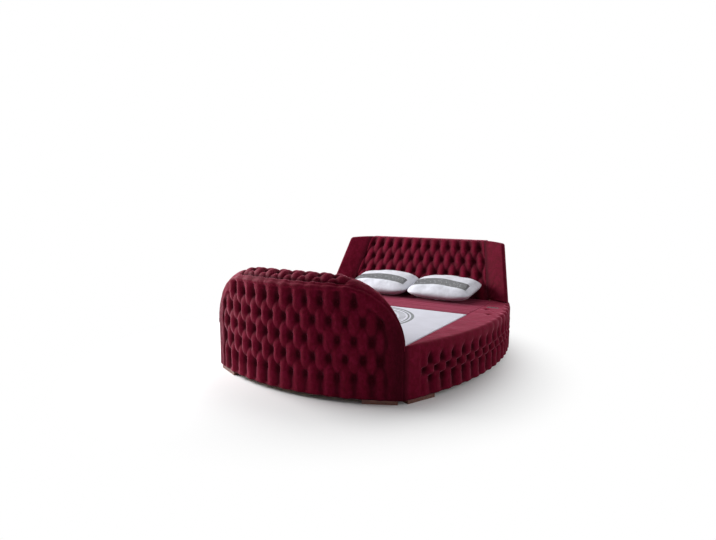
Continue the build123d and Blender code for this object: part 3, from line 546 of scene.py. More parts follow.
def deck_dimples(x, y):
    """Depth on a side's deck: one crease, its two buttons and the pulls round them."""
    crease_y = Y_CORNER + 1.62 - (x - 0.95) * 1.05
    ends = smooth(0.93, 0.98, x) * (1 - smooth(1.12, 1.15, x))
    depth = 0.0022 * bell(y - crease_y, 0.010) * ends
    for tuft_x, tuft_y in DECK_TUFTS:
        away = np.hypot(x - tuft_x, y - tuft_y)
        bearing = np.arctan2(y - tuft_y, x - tuft_x)
        pulls = 1 + 0.5 * np.cos(5 * bearing + tuft_x * 40)
        depth += 0.008 * np.exp(-((away / 0.022) ** 2) / 2) + 0.0025 * np.exp(-away / 0.07) * pulls
    return depth


def make_side():
    """The right side's cover, as points, faces and folds, and the seats of its buttons.

    Place 0 is under the hem, 1 the skirt, 2 the deck and 3 the inner side.
    """
    middle = np.linspace(0.5, SIDE_COLUMNS - 0.5, 419)
    stations = np.concatenate([SIDE_ENDS, middle, SIDE_COLUMNS - SIDE_ENDS[::-1]])
    out = flat(side_arc.outward(stations / SIDE_COLUMNS))
    edge = flat(side_arc.point(stations / SIDE_COLUMNS))
    edge[[0, -1], 0] = np.maximum(edge[[0, -1], 0], SIDE_INNER + LEAST_REACH)
    reach = np.maximum((edge[:, 0] - SIDE_INNER) / out[:, 0], LEAST_REACH)
    inner = edge - out * reach[:, None]
    up = np.array((0.0, 0.0, 1.0))
    corners = np.stack([
        edge - out * HEM_TURN + up * HEM,
        edge + up * HEM,
        edge + up * DECK,
        inner + up * DECK,
        inner + up * COVER_LOW,
    ], axis=1)
    trims = np.zeros((len(stations), 5))
    trims[:, 1] = HEM_ROUND
    trims[:, 2] = np.minimum(RIM_ROUND, reach * 0.45)
    trims[:, 3] = np.minimum(INNER_ROUND, reach * 0.3)
    base, places = rounded_sheet(corners, trims, (3, 60, 56, 5), (4, 9, 3))

    x, y, z = np.moveaxis(base, 2, 0)
    row = (z - SIDE_FIRST_ROW) / SIDE_ROW_STEP
    row = np.where((places > 2)[None, :], SIDE_ROWS + 0.5, row)
    lattice = stations[:, None] * np.ones_like(row)
    along = z + np.where(places > 2, places - 2, 0)[None, :] * 0.3
    pitch = side_arc.length / SIDE_COLUMNS
    tufts = tufting(lattice, row, along, SIDE_ROWS, pitch, SIDE_ROW_STEP, **SIDE_TUFTS)
    rim = 0.10 + 0.45 * smooth(14, 30, stations)
    tufts = tufts * (1 - (1 - rim[:, None]) * smooth(0.325, 0.385, z))
    tufts = tufts * (1 - smooth(1.96, 2.12, places))[None, :]
    tufts = tufts * (0.4 + 0.6 * smooth(HEM, HEM + HEM_FADE, z))
    ends_fade = smooth(2.1, 2.8, stations) * smooth(2.1, 2.8, SIDE_COLUMNS - stations)
    tufts = tufts * ends_fade[:, None]
    depth = tufts + smooth(2.0, 2.06, places)[None, :] * deck_dimples(x, y)

    tight = 0.0016 * ripples(y * 7 + 4, x * 9, 33)
    gap = np.minimum(stations, SIDE_COLUMNS - stations) * pitch
    skin = (places < 3.0)[None, :] * smooth(0.5, 1.05, places)[None, :]
    edge_fade = (1 - smooth(2.9, 2.98, places))[None, :]
    move = (tight * edge_fade * np.minimum(gap / 0.05, 1)[:, None] - depth * edge_fade) * skin
    grid = base + normals_of(base) * move[:, :, None]
    tucked = rounding(gap, GROOVE)[:, None] * (places < 2.1)[None, :]
    grid = grid - out[:, None, :] * tucked[:, :, None]
    socket = (np.abs(x - SOCKET[0]) < SOCKET_HALF[0]) & (np.abs(y - SOCKET[1]) < SOCKET_HALF[1])
    grid[:, :, 2] = np.where(socket & (places > 2)[None, :], DECK - SOCKET_DEEP, grid[:, :, 2])

    front = np.stack([grid[0] + MITRE * 0.025, grid[0]])
    back = np.stack([grid[-1], grid[-1] + np.array((0.0, -0.03, 0.0))])
    points, faces = merge([(grid, False), (front, False), (back, False)])
    # Painted shade: darker in the pits and creases, along the hem, and near the corner with the
    # footboard
    corner = CORNER_SHADE * bell(stations * pitch, 0.055)[:, None] * (places < 2.1)[None, :]
    shade = depth * (places < 2.98)[None, :] + hem_shade(base) + corner
    painted_shade = painted_shade_of([grid, front, back], shade)
    seats = seats_on(places < 2.0, grid, base, lattice, row, tufts, SIDE_ROWS, least=0.018)
    for tuft in DECK_TUFTS:
        seats.append(((*tuft, DECK - 0.0085), (0.0, 0.0, 1.0)))
    return points, faces, painted_shade, seats


*side_shape, side_seats = make_side()
side_covers = both_sides("side_cover", *side_shape)
for piece, side in side_covers:
    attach(piece, "base")
    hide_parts(f"side_skirt_{side}", f"side_deck_pad_{side}")
left_seats = [((-x, y, z), (-out[0], *out[1:])) for (x, y, z), out in side_seats]
side_domes = button_domes("side_button_domes", side_seats + left_seats)
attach(side_domes, "base")
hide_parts("side_buttons")


# Headboard: the buttoned middle panel, which leans back, and a plain wing on each side of it

HEAD_COLUMNS = 24
HEAD_ROWS = 4
HEAD_FIRST_ROW = 0.540
HEAD_ROW_STEP = 0.133
HEAD_TUFTS = dict(crease=0.015, pit=0.024, spread=(0.0165, 0.021), pleat=1.6)
HEAD_ENDS = np.array([0, 0.02, 0.05, 0.09, 0.14, 0.2, 0.28, 0.38])
HEAD_MEAN_PITCH = 0.0575
HEAD_THICK = 0.070
HEAD_TURN = 0.006
HEAD_ROUND = 0.030
# Painted shade laid evenly over the headboard and its wings, to darken them
HEAD_SHADE = 0.012
WING_FOOT = (1.045, Y_CORNER + 1.965)  # the wing's outer edge on the deck
WING_TOP_X = 0.916
WING_DROP = 0.014
WING_TUCK = 0.018
WING_HALF_THICK = 0.0255
WING_ROUND = 0.024
WING_EDGE = 0.016


def head_y(z):
    """y of the leaning front at a height."""
    return HEAD_FOOT_Y + (z - DECK) * HEAD_LEAN


def head_half(z):
    """Half the width of the headboard's middle panel at a height."""
    return HEAD_FOOT_HALF - (z - DECK) * HEAD_FLARE


def make_headboard():
    """The middle panel's cover and its buttons: place 0 is the front, and 1 and 2 the top."""
    middle = np.linspace(0.48, HEAD_COLUMNS - 0.48, 236)
    stations = np.concatenate([HEAD_ENDS, middle, HEAD_COLUMNS - HEAD_ENDS[::-1]])
    share = 2 * stations / HEAD_COLUMNS - 1
    top_x, top_y = share * head_half(HEAD_TOP), head_y(HEAD_TOP)
    corners = np.stack([
        points_at(share * head_half(COVER_LOW), head_y(COVER_LOW), COVER_LOW),
        points_at(top_x, top_y, HEAD_TOP),
        points_at(top_x, top_y + HEAD_THICK, HEAD_TOP),
        points_at(top_x, top_y + HEAD_THICK, HEAD_TOP - HEAD_TURN),
    ], axis=1)
    trims = np.zeros((len(stations), 4))
    trims[:, 1] = HEAD_ROUND
    trims[:, 2] = 0.003
    base, places = rounded_sheet(corners, trims, (90, 8, 1), (9, 2))

    z = base[:, :, 2]
    row = (z - HEAD_FIRST_ROW) / HEAD_ROW_STEP
    row = np.where((places > 1)[None, :], HEAD_ROWS - 0.4, row)
    lattice = stations[:, None] * np.ones_like(row)
    along = z + (places > 1)[None, :] * 0.05
    pitch = 2 * head_half(z) / HEAD_COLUMNS
    depth = tufting(lattice, row, along, HEAD_ROWS, pitch, HEAD_ROW_STEP, **HEAD_TUFTS)
    gap = np.minimum(stations, HEAD_COLUMNS - stations) * HEAD_MEAN_PITCH
    depth = depth * (0.35 + 0.65 * smooth(0.0, 0.030, gap))[:, None]
    depth = depth * (1 - 0.80 * smooth(0.955, 1.10, places))[None, :]
    cloth = 0.0010 * ripples(lattice * 1.4, along * 14, 51)
    move = (cloth - depth - rounding(gap, 0.012)[:, None]) * (places < 1.9)[None, :]
    grid = base + normals_of(base) * move[:, :, None]

    behind = np.array((0.0, 0.03, 0.0))
    left = np.stack([grid[0] + behind, grid[0]])
    right = np.stack([grid[-1], grid[-1] + behind])
    # Painted shade: the pits and creases darker, and the whole panel a little darker
    painted_shade = painted_shade_of([grid, left, right], depth + HEAD_SHADE)
    parts = [(grid, False), (left, False), (right, False)]
    cover = new_object("headboard_cover", *merge(parts), painted_shade=painted_shade)
    seats = seats_on(places < 1.0, grid, base, lattice, row, depth, HEAD_ROWS, least=0.016)
    return cover, button_domes("headboard_button_domes", seats)


headboard_cover, headboard_domes = make_headboard()
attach(headboard_cover, "base")
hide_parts("headboard_pad")
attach(headboard_domes, "base")
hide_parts("headboard_buttons")


def make_wing():
    """The plain padded wing on the right: two faces that meet in a rounded edge.

    Its inner edge is tucked in behind the middle panel.
    """
    foot = DECK + 0.0008
    inner_low = np.array((head_half(foot), head_y(foot), foot))
    inner_high = np.array((head_half(HEAD_TOP), head_y(HEAD_TOP), HEAD_TOP))
    outer_low = np.array((*WING_FOOT, foot))
    normal = np.cross(inner_high - inner_low, outer_low - inner_low)
    top = HEAD_TOP - WING_DROP
    dx = WING_TOP_X - inner_high[0]
    back = (normal[0] * dx + normal[2] * (top - HEAD_TOP)) / normal[1]
    outer_high = np.array((WING_TOP_X, inner_high[1] - back, top))
    inner_low = inner_low - unit(outer_low - inner_low) * WING_TUCK
    inner_high = inner_high - unit(outer_high - inner_high) * WING_TUCK
    run = unit((outer_low - inner_low) * np.array((1, 1, 0)))
    back = np.array((-run[1], run[0], 0.0))
    u, v = np.meshgrid(eased(57) * 0.5 + 0.5, eased(77) * 0.5 + 0.5, indexing="ij")
    wide = np.linalg.norm(outer_low - inner_low)
    tall = np.linalg.norm(inner_high - inner_low)
    flat_wide = wide - WING_ROUND
    flat_tall = tall - WING_ROUND
    right = np.maximum(u * wide - flat_wide, 0)
    high = np.maximum(v * tall - flat_tall, 0)
    pull = np.maximum(right, high) / np.maximum(np.hypot(right, high), 1e-9)
    pull = np.where((right > 0) & (high > 0), pull, 1)
    u = np.where(right > 0, (flat_wide + right * pull) / wide, u)
    v = np.where(high > 0, (flat_tall + high * pull) / tall, v)
    low = inner_low + (outer_low - inner_low) * u[..., None]
    tip = inner_high + (outer_high - inner_high) * u[..., None]
    sheet = low + (tip - low) * v[..., None] + back * WING_HALF_THICK
    sheet[:, :, 2] += 0.004 * np.sin(np.pi * u) * v
    corner = np.hypot(np.maximum(u * wide - flat_wide, 0), np.maximum(v * tall - flat_tall, 0))
    round_off = np.ones_like(u)
    for gap in (u * wide, v * tall, WING_ROUND - corner):
        inside = np.clip(gap / WING_EDGE, 0, 1)
        round_off = round_off * np.sqrt(np.maximum(1 - (1 - inside) ** 2, 0))
    away = np.hypot(u * wide, v * tall)
    bearing = np.degrees(np.arctan2(v * tall, u * wide))
    folds = 0.0030 * np.sin(bearing * 0.30 + 1.2 * np.sin(bearing * 0.11)) * np.exp(-away / 0.22)
    folds = folds * smooth(0.01, 0.06, away)
    tight = 0.0012 * ripples(u * 3, v * 4, 61)
    puff = 0.002 * np.sin(np.pi * u) * np.sin(np.pi * v)
    front = sheet - back * ((WING_HALF_THICK + puff + folds + tight) * round_off)[..., None]
    rear = sheet + back * (WING_HALF_THICK * round_off)[..., None]
    # Painted shade: the whole wing a little darker, more so along its inner edge at the middle
    # panel and in its folds
    shade = HEAD_SHADE + 0.003 + 0.018 * bell(u * wide, 0.045) + 0.5 * np.abs(folds)
    return *merge([(front, False), (rear, True)]), painted_shade_of([front, rear], shade)


wing_covers = both_sides("wing_cover", *make_wing())
for piece, side in wing_covers:
    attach(piece, "base")
    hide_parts(f"wing_pad_{side}", "wing_boards", "wing_back_covers")


# Flat pads: the strip under the pillows and the lid

STRIP_ROUND = 0.008
LID_ROUND = 0.009


def spaced(low, high, radius, count):
    """Places from low to high, close together within the rounded edges."""
    turn = np.linspace(0, math.pi / 2, 6)
    lead = radius * (1 - np.cos(turn))
    middle = np.linspace(low + radius, high - radius, count)[1:-1]
    return np.concatenate([low + lead, middle, high - lead[::-1]])


def box_pad(name, node, radius, counts, raised):
    """A pad in a node's box: a rounded upper edge, flat sides and underside, a shaped top."""
    low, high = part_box(node)
    xs = spaced(low[0], high[0], radius, counts[0])
    ys = spaced(low[1], high[1], radius, counts[1])
    x, y = np.meshgrid(xs, ys, indexing="ij")
    drop = np.zeros_like(x)
    keep = np.ones_like(x)
    for gap in (x - low[0], high[0] - x, y - low[1], high[1] - y):
        drop = np.maximum(drop, rounding(gap, radius))
        keep = keep * smooth(0, 2.5 * radius, gap)
    top = points_at(x, y, high[2] - drop + raised(x, y) * keep)
    parts = [(top, False)]
    for line, flip in ((top[0], True), (top[-1], False), (top[:, 0], True), (top[:, -1], False)):
        foot = line * np.array((1, 1, 0)) + np.array((0, 0, low[2]))
        parts.append((np.stack([foot, line]), flip))
    under = top[[0, -1]][:, [0, -1]]
    under[:, :, 2] = low[2]
    parts.append((under, True))
    return new_object(name, *merge(parts))


def strip_folds(x, y):
    """Long soft wrinkles across the strip, and one crease near its right end."""
    bend = 0.012 * noise2(x * 2.2, y * 3, 71)
    line = (y + bend) * 24
    folds = 1 - 2 * np.abs(noise2(x * 1.1 + 3, line, 73))
    fine = 1 - 2 * np.abs(noise2(x * 2.3, line * 2.1, 75))
    slack = 0.55 + 0.45 * noise2(x * 1.6, y * 4, 77)
    slant = bell((x - 0.866) + (y - Y_CORNER - 1.52) * 0.16, 0.006)
    slant = slant * smooth(Y_CORNER + 1.39, Y_CORNER + 1.42, y)
    slant = slant * (1 - smooth(Y_CORNER + 1.62, Y_CORNER + 1.66, y))
    return 0.0022 * folds * slack + 0.0009 * fine - 0.0012 + 0.003 * slant


def lid_top(x, y):
    """The lid's stretched cloth: a slight crown and very faint ripples."""
    low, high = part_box("lid_pad")
    across = (x - low.x) / (high.x - low.x)
    along = (y - low.y) / (high.y - low.y)
    crown = (16 * across * (1 - across) * along * (1 - along)) ** 0.5
    return 0.0015 * crown + 0.0004 * ripples(x * 3, y * 3, 81)


head_strip = box_pad("head_deck_cover", "head_deck_pad", STRIP_ROUND, (240, 130), strip_folds)
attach(head_strip, "base")
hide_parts("head_deck_pad")

lid_cover = box_pad("lid_cover", "lid_pad", LID_ROUND, (90, 70), lid_top)
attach(lid_cover, "lid")
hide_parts("lid_pad")


# Pillows

PILLOW_DEPTH = 0.484
PILLOW_THICK = 0.220
PILLOW_SWELL = 0.085
PILLOW_TILT = math.radians(11)
DRAWN_IN = (0.09, 0.16)
PRESSURE_FRAMES = 20
MOST_SWELL = 0.016
SATIN = dict(
    quality=7, mass=0.25, tension_stiffness=15, compression_stiffness=15, shear_stiffness=5,
    bending_stiffness=0.5, use_pressure=True, uniform_pressure_force=4.0,
)


def turned(a, b, angle):
    """Two coordinates of points after a turn in their plane."""
    return a * math.cos(angle) - b * math.sin(angle), a * math.sin(angle) + b * math.cos(angle)


def inflate(piece):
    """Blows a closed shape up by cloth simulation, each point by no more than a limit."""
    before = places_of(piece)
    cloth = piece.modifiers.new("Cloth", "CLOTH")
    for key, value in SATIN.items():
        setattr(cloth.settings, key, value)
    cloth.settings.effector_weights.gravity = 0
    cloth.collision_settings.use_collision = False
    cloth.point_cache.frame_end = PRESSURE_FRAMES
    scene = bpy.context.scene
    for step in range(1, PRESSURE_FRAMES + 1):
        scene.frame_set(step)
    shape = piece.evaluated_get(bpy.context.evaluated_depsgraph_get())
    move = places_of(shape) - before
    piece.modifiers.remove(cloth)
    size = np.linalg.norm(move, axis=1, keepdims=True)
    move_to(piece, before + move * np.minimum(1, MOST_SWELL / np.maximum(size, 1e-9)))
    scene.frame_set(1)


def make_pillow(name, node, seed, turn):
    """A pillow in a node's place that leans on the headboard."""
    low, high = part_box(node)
    full = np.array((high.x - low.x, PILLOW_DEPTH, PILLOW_THICK))
    u, v = np.meshgrid(eased(76), eased(56), indexing="ij")
    x = full[0] / 2 * u * (1 - DRAWN_IN[0] * v**6)
    y = full[1] / 2 * v * (1 - DRAWN_IN[1] * u**6)
    swell = PILLOW_SWELL * ((1 - u**2) * (1 - v**2)) ** 0.48
    swell = swell * (1 + 0.10 * noise2(u * 2.2, v * 1.8, seed)) + 0.0004
    inside = (np.abs(u) < 1) & (np.abs(v) < 1)
    upper = points_at(x, y, np.where(inside, swell, 0))
    lower = points_at(x, y, np.where(inside, -swell, 0))
    piece = new_object(name, *merge([(upper, False), (lower, True)]))
    layout = places_of(piece)[:, :2] / full[:2] + 0.5
    corners = np.array([loop.vertex_index for loop in piece.data.loops])
    piece.data.uv_layers.new(name="UVMap").data.foreach_set("uv", layout[corners].ravel())
    inflate(piece)
    points = places_of(piece)
    points -= (points.max(0) + points.min(0)) / 2
    points *= full / (points.max(0) - points.min(0))
    x, y, z = points.T
    y, z = turned(y, z, PILLOW_TILT)
    x, y = turned(x, y, turn)
    x += (low.x + high.x) / 2
    z += DECK + 0.003 - z.min()
    y += float(np.min(head_y(z) - y)) - 0.004
    move_to(piece, points_at(x, y, z))
    more = piece.modifiers.new("Subdivision", "SUBSURF")
    more.levels = more.render_levels = 1
    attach(piece, "base")
    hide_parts(node)
    return piece


pillow_left = make_pillow("pillow_cover_left", "pillow_left", 91, math.radians(1.0))
pillow_right = make_pillow("pillow_cover_right", "pillow_right", 95, math.radians(-3.0))


# Materials

def feed(socket, value):
    """Links a socket to another node's output, or sets it to a plain value."""
    if isinstance(value, bpy.types.NodeSocket):
        socket.id_data.links.new(value, socket)
    else:
        socket.default_value = value


def fill(made, **values):
    """Sets a node's properties and inputs, by names with underscores for spaces."""
    for key, value in values.items():
        if hasattr(made, key):
            setattr(made, key, value)
        else:
            feed(made.inputs[key.replace("_", " ")], value)


def node(tree, kind, **values):
    """A new node with some of its properties and inputs."""
    made = tree.nodes.new("ShaderNode" + kind)
    fill(made, **values)
    return made


def material(name):
    """A new node material, its tree and its main shader."""
    made = bpy.data.materials.new(name)
    made.use_nodes = True
    return made, made.node_tree, made.node_tree.nodes["Principled BSDF"]


def coordinates(tree, kind="Object"):
    """The object's own space in metres, or its UV map."""
    return node(tree, "TexCoord").outputs[kind]


def ramp(tree, source, stops):
    """A colour ramp over a value."""
    made = node(tree, "ValToRGB", Fac=source)
    while len(made.color_ramp.elements) < len(stops):
        made.color_ramp.elements.new(0.5)
    for element, (place, colour) in zip(made.color_ramp.elements, stops):
        element.position = place
        element.color = (*colour, 1)
    return made.outputs["Color"]


def noise(tree, scale, detail=3.0, rough=0.55, distortion=0.0, stretch=(1, 1, 1), kind="Object"):
    """Noise, finer with the scale, over one kind of coordinates."""
    place = node(tree, "Mapping", Vector=coordinates(tree, kind), Scale=stretch)
    made = node(
        tree, "TexNoise", Vector=place.outputs["Vector"],
        Scale=scale, Detail=detail, Roughness=rough, Distortion=distortion,
    )
    return made.outputs["Fac"]


def math_node(tree, operation, first, second=0.5):
    """A math node over one or two values or numbers."""
    made = node(tree, "Math", operation=operation)
    feed(made.inputs[0], first)
    feed(made.inputs[1], second)
    return made.outputs["Value"]


def within(tree, value, middle, half):
    """1 where a value is nearer to the middle than half, and 0 elsewhere."""
    away = math_node(tree, "ABSOLUTE", math_node(tree, "SUBTRACT", value, middle))
    return math_node(tree, "LESS_THAN", away, half)


def tint(tree, share, first, second):
    """The first colour where the share is 0, turning into the second where it is 1."""
    made = node(tree, "Mix", data_type="RGBA", Factor=share, A=first, B=(*second, 1))
    return made.outputs["Result"]


def map_range(tree, value, low, high):
    """A value from 0 to 1, moved into the range from low to high."""
    made = node(tree, "MapRange", Value=value, To_Min=low, To_Max=high)
    return made.outputs["Result"]


def bump(tree, shader, *sources):
    """Stacks bumps, each a height source, a strength and a distance in metres."""
    below = {}
    for height, strength, distance in sources:
        made = node(tree, "Bump", Height=height, Strength=strength, Distance=distance, **below)
        below = {"Normal": made.outputs["Normal"]}
    fill(shader, **below)


# Painted shade: how far it darkens the velvet at most, and the near-black colour it turns to
FOLD_SHADE = 0.72
SHADE_COLOUR = (0.014, 0.0, 0.002)
NAP_STOPS = (0.34, 0.50, 0.66)


def velvet(name, shades, crush, sheen):
    """Crushed velvet: patches of laid nap, painted shade that darkens it in creases and other
    shaded places, a fine pile and a sheen.
    """
    made, tree, shader = material(name)
    calc = partial(math_node, tree)
    patches = noise(tree, 22, 5.0, 0.62, 0.9)
    streaks = noise(tree, 60, 3.0, 0.6, 0.4, (1, 1, 0.35))
    pile = noise(tree, 900, 2.0)
    nap = calc("ADD", calc("MULTIPLY", patches, 0.7), calc("MULTIPLY", streaks, 0.3))
    colour = ramp(tree, nap, list(zip(NAP_STOPS, shades)))
    # The painted shade of each point, which darkens the base colour
    painted_shade = node(tree, "Attribute", attribute_name="painted_shade").outputs["Fac"]
    shade_share = calc("MULTIPLY", painted_shade, FOLD_SHADE)
    fill(
        shader, Base_Color=tint(tree, shade_share, colour, SHADE_COLOUR),
        Roughness=map_range(tree, nap, 0.55, 0.85), Specular_IOR_Level=0.06,
        Sheen_Weight=sheen, Sheen_Roughness=0.26, Sheen_Tint=(1.0, 0.32, 0.46, 1),
    )
    bump(tree, shader, (patches, crush, 0.004), (pile, 0.25, 0.0006))
    return made


VELVET_SHADES = ((0.105, 0.0008, 0.010), (0.142, 0.0020, 0.017), (0.190, 0.006, 0.030))
DECK_SHADES = ((0.110, 0.0035, 0.016), (0.142, 0.007, 0.025), (0.180, 0.015, 0.040))
VELVET = velvet("velvet_tufted", VELVET_SHADES, crush=0.3, sheen=0.60)
VELVET_DECK = velvet("velvet_plain", DECK_SHADES, crush=0.25, sheen=0.55)


def weave(tree, scale):
    """A plain weave's height from two crossed waves."""
    inputs = dict(Vector=coordinates(tree), Scale=scale, Distortion=0.4)
    waves = [node(tree, "TexWave", bands_direction=way, **inputs) for way in ("X", "Y")]
    return math_node(tree, "MAXIMUM", *(wave.outputs["Fac"] for wave in waves))


MOTIF_CENTRE = (0.08, Y_CORNER + 0.725)
RINGS = ((0.485, 0.013), (0.450, 0.008), (0.335, 0.012), (0.120, 0.010))
SPOKES = 48.0
SPOKE_RING = (0.395, 0.028)
PETALS = 4.0
MOTIF_COLOUR = (0.035, 0.05, 0.055)
LID_CLOTH = ((0.3, (0.47, 0.47, 0.54)), (0.7, (0.53, 0.53, 0.61)))


def motif(tree):
    """A large worn motif of rings, spokes, petals and a speckled core."""
    calc = partial(math_node, tree)
    split = node(tree, "SeparateXYZ", Vector=coordinates(tree))
    x = calc("SUBTRACT", split.outputs["X"], MOTIF_CENTRE[0])
    y = calc("SUBTRACT", split.outputs["Y"], MOTIF_CENTRE[1])
    radius = calc("SQRT", calc("ADD", calc("MULTIPLY", x, x), calc("MULTIPLY", y, y)))
    angle = calc("ARCTAN2", y, x)
    petal_angle = calc("MULTIPLY", angle, PETALS)
    marks = [within(tree, radius, middle, half) for middle, half in RINGS]
    spokes = calc("GREATER_THAN", calc("SINE", calc("MULTIPLY", angle, SPOKES)), 0.25)
    marks.append(calc("MULTIPLY", spokes, within(tree, radius, *SPOKE_RING)))
    petal = calc("MULTIPLY", calc("ABSOLUTE", calc("SINE", petal_angle)), 0.165)
    marks.append(within(tree, radius, calc("ADD", petal, 0.125), 0.022))
    core = calc("MULTIPLY", calc("ABSOLUTE", calc("COSINE", petal_angle)), 0.120)
    core = calc("LESS_THAN", radius, calc("ADD", core, 0.05))
    speckles = calc("GREATER_THAN", noise(tree, 60, 2.0), 0.45)
    marks.append(calc("MULTIPLY", core, speckles))
    wear = calc("ADD", calc("MULTIPLY", noise(tree, 30, 3.0), 0.4), 0.74)
    return calc("MULTIPLY", reduce(partial(calc, "MAXIMUM"), marks), wear)


def lid_material():
    """White upholstery cloth with a large dark motif in the middle."""
    made, tree, shader = material("lid_white_cloth")
    colour = tint(tree, motif(tree), ramp(tree, noise(tree, 7, 4.0), LID_CLOTH), MOTIF_COLOUR)
    fill(shader, Base_Color=colour, Roughness=0.8, Sheen_Weight=0.25)
    bump(tree, shader, (noise(tree, 5, 3.0), 0.12, 0.004), (weave(tree, 300), 0.2, 0.0004))
    return made


PILLOW_CLOTH = ((0.3, (0.50, 0.51, 0.56)), (0.7, (0.68, 0.69, 0.76)))
BAND_COLOUR = (0.018, 0.020, 0.024)
BAND_MARKS = (70, 16, 1)


def pillow_material():
    """Pale satin with a dark band of woven marks across the lower half."""
    made, tree, shader = material("pillow_satin")
    calc = partial(math_node, tree)
    split = node(tree, "SeparateXYZ", Vector=coordinates(tree, "UV"))
    upright = within(tree, split.outputs["Y"], 0.33, 0.125)
    across = within(tree, split.outputs["X"], 0.5, 0.43)
    band = calc("MULTIPLY", upright, across)
    marks = calc("GREATER_THAN", noise(tree, 1.0, 2.0, 0.5, 0.0, BAND_MARKS, "UV"), 0.62)
    dark = calc("SUBTRACT", 0.97, calc("MULTIPLY", marks, 0.40))
    cloth = ramp(tree, noise(tree, 11, 4.0, 0.6, 0.5), PILLOW_CLOTH)
    colour = tint(tree, calc("MULTIPLY", band, dark), cloth, BAND_COLOUR)
    fill(shader, Base_Color=colour, Roughness=0.5, Sheen_Weight=0.2, Sheen_Roughness=0.4)
    creases = noise(tree, 16, 3.0, 0.5, 0.6)
    bump(tree, shader, (creases, 0.25, 0.006), (weave(tree, 420), 0.15, 0.0003))
    return made


def wood_material(name, dark, light, scale, rough, gloss):
    """Wood with long grain and short pores."""
    made, tree, shader = material(name)
    grain = noise(tree, scale, 6.0, 0.65, 1.2, (0.12, 1, 1))
    pores = noise(tree, scale * 9, 2.0, 0.5, 0.0, (0.06, 1, 1))
    colour = ramp(tree, grain, ((0.35, dark), (0.65, light)))
    fill(shader, Base_Color=colour, Roughness=rough, Coat_Weight=gloss)
    bump(tree, shader, (grain, 0.15, 0.001), (pores, 0.25, 0.0005))
    return made


def hard_material(name, colour, rough, metallic, grain, coat=0.0):
    """Metal or plastic with slightly uneven colour and gloss."""
    made, tree, shader = material(name)
    darker = tuple(c * 0.82 for c in colour)
    gloss = noise(tree, grain * 3, 3.0)
    fill(
        shader,
        Base_Color=ramp(tree, noise(tree, grain, 4.0), ((0.3, darker), (0.7, colour))),
        Roughness=map_range(tree, gloss, max(rough - 0.06, 0.02), rough + 0.08),
        Metallic=metallic,
        Coat_Weight=coat,
    )
    bump(tree, shader, (noise(tree, grain * 12, 2.0), 0.08, 0.0004))
    return made


def lining_material():
    """Thin black dust-cover cloth."""
    made, tree, shader = material("black_lining")
    stops = ((0.3, (0.006, 0.005, 0.006)), (0.7, (0.014, 0.012, 0.013)))
    colour = ramp(tree, noise(tree, 40, 3.0), stops)
    fill(shader, Base_Color=colour, Roughness=0.9)
    bump(tree, shader, (weave(tree, 260), 0.3, 0.0005))
    return made


BOARD = ((0.34, 0.21, 0.11), (0.52, 0.36, 0.21))
BROWN = ((0.10, 0.030, 0.018), (0.21, 0.075, 0.050))
LOOKS = {
    "velvet": VELVET,
    "velvet_deck": VELVET_DECK,
    "lid_cloth": lid_material(),
    "lining": lining_material(),
    "board": wood_material("bare_board", *BOARD, scale=14, rough=0.75, gloss=0.0),
    "foot_wood": wood_material("brown_wood", *BROWN, scale=30, rough=0.45, gloss=0.2),
    "steel": hard_material("black_steel", (0.020, 0.020, 0.022), 0.42, 0.0, 60, 0.15),
    "zinc": hard_material("zinc_plate", (0.52, 0.52, 0.54), 0.34, 1.0, 80),
    "chrome": hard_material("chrome_rod", (0.75, 0.75, 0.77), 0.10, 1.0, 50),
    "gloss": hard_material("gloss_panel", (0.035, 0.025, 0.028), 0.10, 0.0, 90, 0.6),
    "trim": hard_material("grey_trim", (0.40, 0.33, 0.34), 0.22, 0.3, 70, 0.3),
}
# Nodes that show another finish than their slot's
COVERED = {
    "headboard_end_boards": VELVET,
    "wing_brackets": LOOKS["lining"],
    "back_panel": LOOKS["lining"],
}
slots = {entry["node"]: entry["material_slot"] for entry in frame["record"]["subparts"]}
for name, piece in nodes.items():
    look = COVERED.get(name) or LOOKS.get(slots.get(name, ""), LOOKS["board"])
    piece.data.materials.clear()
    piece.data.materials.append(look)
buttoned = [footboard_cover, footboard_domes, side_domes, headboard_cover, headboard_domes]
for piece in buttoned + [piece for piece, side in side_covers + wing_covers]:
    piece.data.materials.append(VELVET)
head_strip.data.materials.append(VELVET_DECK)
lid_cover.data.materials.append(LOOKS["lid_cloth"])
pillow_left.data.materials.append(pillow_material())
pillow_right.data.materials.append(pillow_left.data.materials[0])


# Room, lamps and camera

FLOOR_HALF = 30.0
SHADOW_REACH = (1.25, 2.30)
WORLD_LIGHT = 0.155
PHOTO_WIDTH = 716
FOCAL_PIXELS = 546.2
SENSOR = 36.0
CAMERA_PLACE = (2.560, -4.4615, 1.464)
CAMERA_DOWN = 0.1291
CAMERA_TURN = 0.5451
WHITE = (1, 1, 1, 1)


def mix_shaders(tree, share, first, second):
    """A mix of two shaders by a share."""
    made = node(tree, "MixShader")
    for socket, source in zip(made.inputs, (share, first.outputs[0], second.outputs[0])):
        feed(socket, source)
    return made.outputs[0]


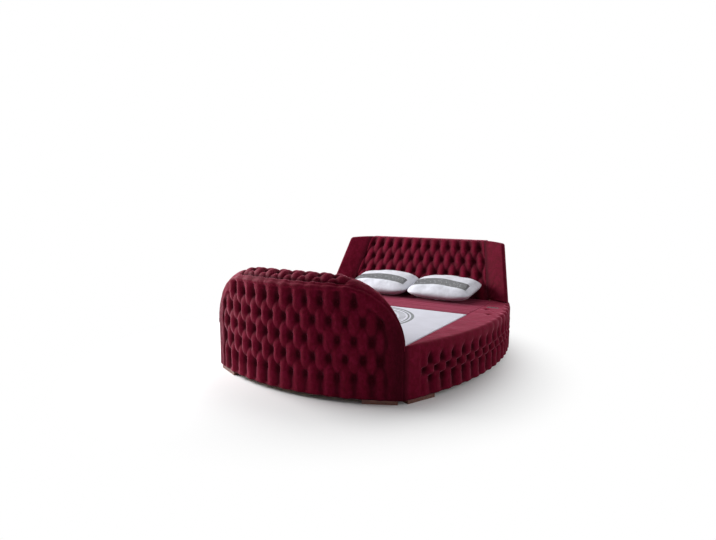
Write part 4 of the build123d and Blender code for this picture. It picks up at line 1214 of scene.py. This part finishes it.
def make_floor():
    """A pale floor that shows the bed's shadow and turns plain white further out."""
    corners = FLOOR_HALF * np.array(((-1, -1, 0), (1, -1, 0), (1, 1, 0), (-1, 1, 0)))
    floor = new_object("studio_floor", corners, [(0, 1, 2, 3)])
    floor.location = (-0.3, -0.3, 0)
    made, tree, shader = material("pale_floor")
    fill(shader, Base_Color=(0.90, 0.90, 0.90, 1), Roughness=0.8)
    glow = node(tree, "Emission", Color=WHITE, Strength=1.0)
    away = node(tree, "VectorMath", operation="LENGTH", Vector=coordinates(tree))
    far = node(
        tree, "MapRange", interpolation_type="SMOOTHSTEP", Value=away.outputs["Value"],
        From_Min=SHADOW_REACH[0], From_Max=SHADOW_REACH[1],
    )
    seen = node(tree, "LightPath").outputs["Is Camera Ray"]
    share = math_node(tree, "MULTIPLY", far.outputs["Result"], seen)
    surface = tree.nodes["Material Output"].inputs["Surface"]
    feed(surface, mix_shaders(tree, share, shader, glow))
    floor.data.materials.append(made)


def lamp(name, place, target, size, power):
    """A rectangular lamp that faces a target."""
    data = bpy.data.lights.new(name, "AREA")
    data.shape = "RECTANGLE"
    data.size, data.size_y = size
    data.energy = power
    made = add_object(name, data)
    made.location = place
    made.rotation_euler = (Vector(target) - Vector(place)).to_track_quat("-Z", "Y").to_euler()


def make_world():
    """Dim light from all round, and white where the camera or a gloss sees the world."""
    world = bpy.data.worlds.new("studio")
    bpy.context.scene.world = world
    world.use_nodes = True
    tree = world.node_tree
    tree.nodes.clear()
    light = node(tree, "Background", Color=(0.95, 0.97, 1.0, 1), Strength=WORLD_LIGHT)
    white = node(tree, "Background", Color=WHITE, Strength=1.0)
    rays = node(tree, "LightPath").outputs
    seen = math_node(tree, "MAXIMUM", rays["Is Camera Ray"], rays["Is Glossy Ray"])
    seen = math_node(tree, "MAXIMUM", seen, rays["Is Transmission Ray"])
    node(tree, "OutputWorld", Surface=mix_shaders(tree, seen, light, white))


make_floor()
make_world()
lamp("key_left", (-5.1, -1.4, 2.7), target=(0, -0.4, 0.4), size=(3.4, 2.4), power=540)
lamp("top_soft", (-0.4, 1.6, 4.1), target=(0, 0.0, 0.3), size=(3.4, 3.0), power=88)
lamp("side_right", (5.0, 1.2, 2.4), target=(1.0, 0, 0.3), size=(2.5, 2.0), power=55)

camera_data = bpy.data.cameras.new("camera")
camera_data.sensor_fit = "HORIZONTAL"
camera_data.sensor_width = SENSOR
camera_data.lens = FOCAL_PIXELS / PHOTO_WIDTH * SENSOR
camera = add_object("camera", camera_data)
camera.location = CAMERA_PLACE
camera.rotation_euler = (math.pi / 2 - CAMERA_DOWN, 0, CAMERA_TURN)
bpy.context.scene.camera = camera
bpy.context.scene.view_settings.view_transform = "Standard"
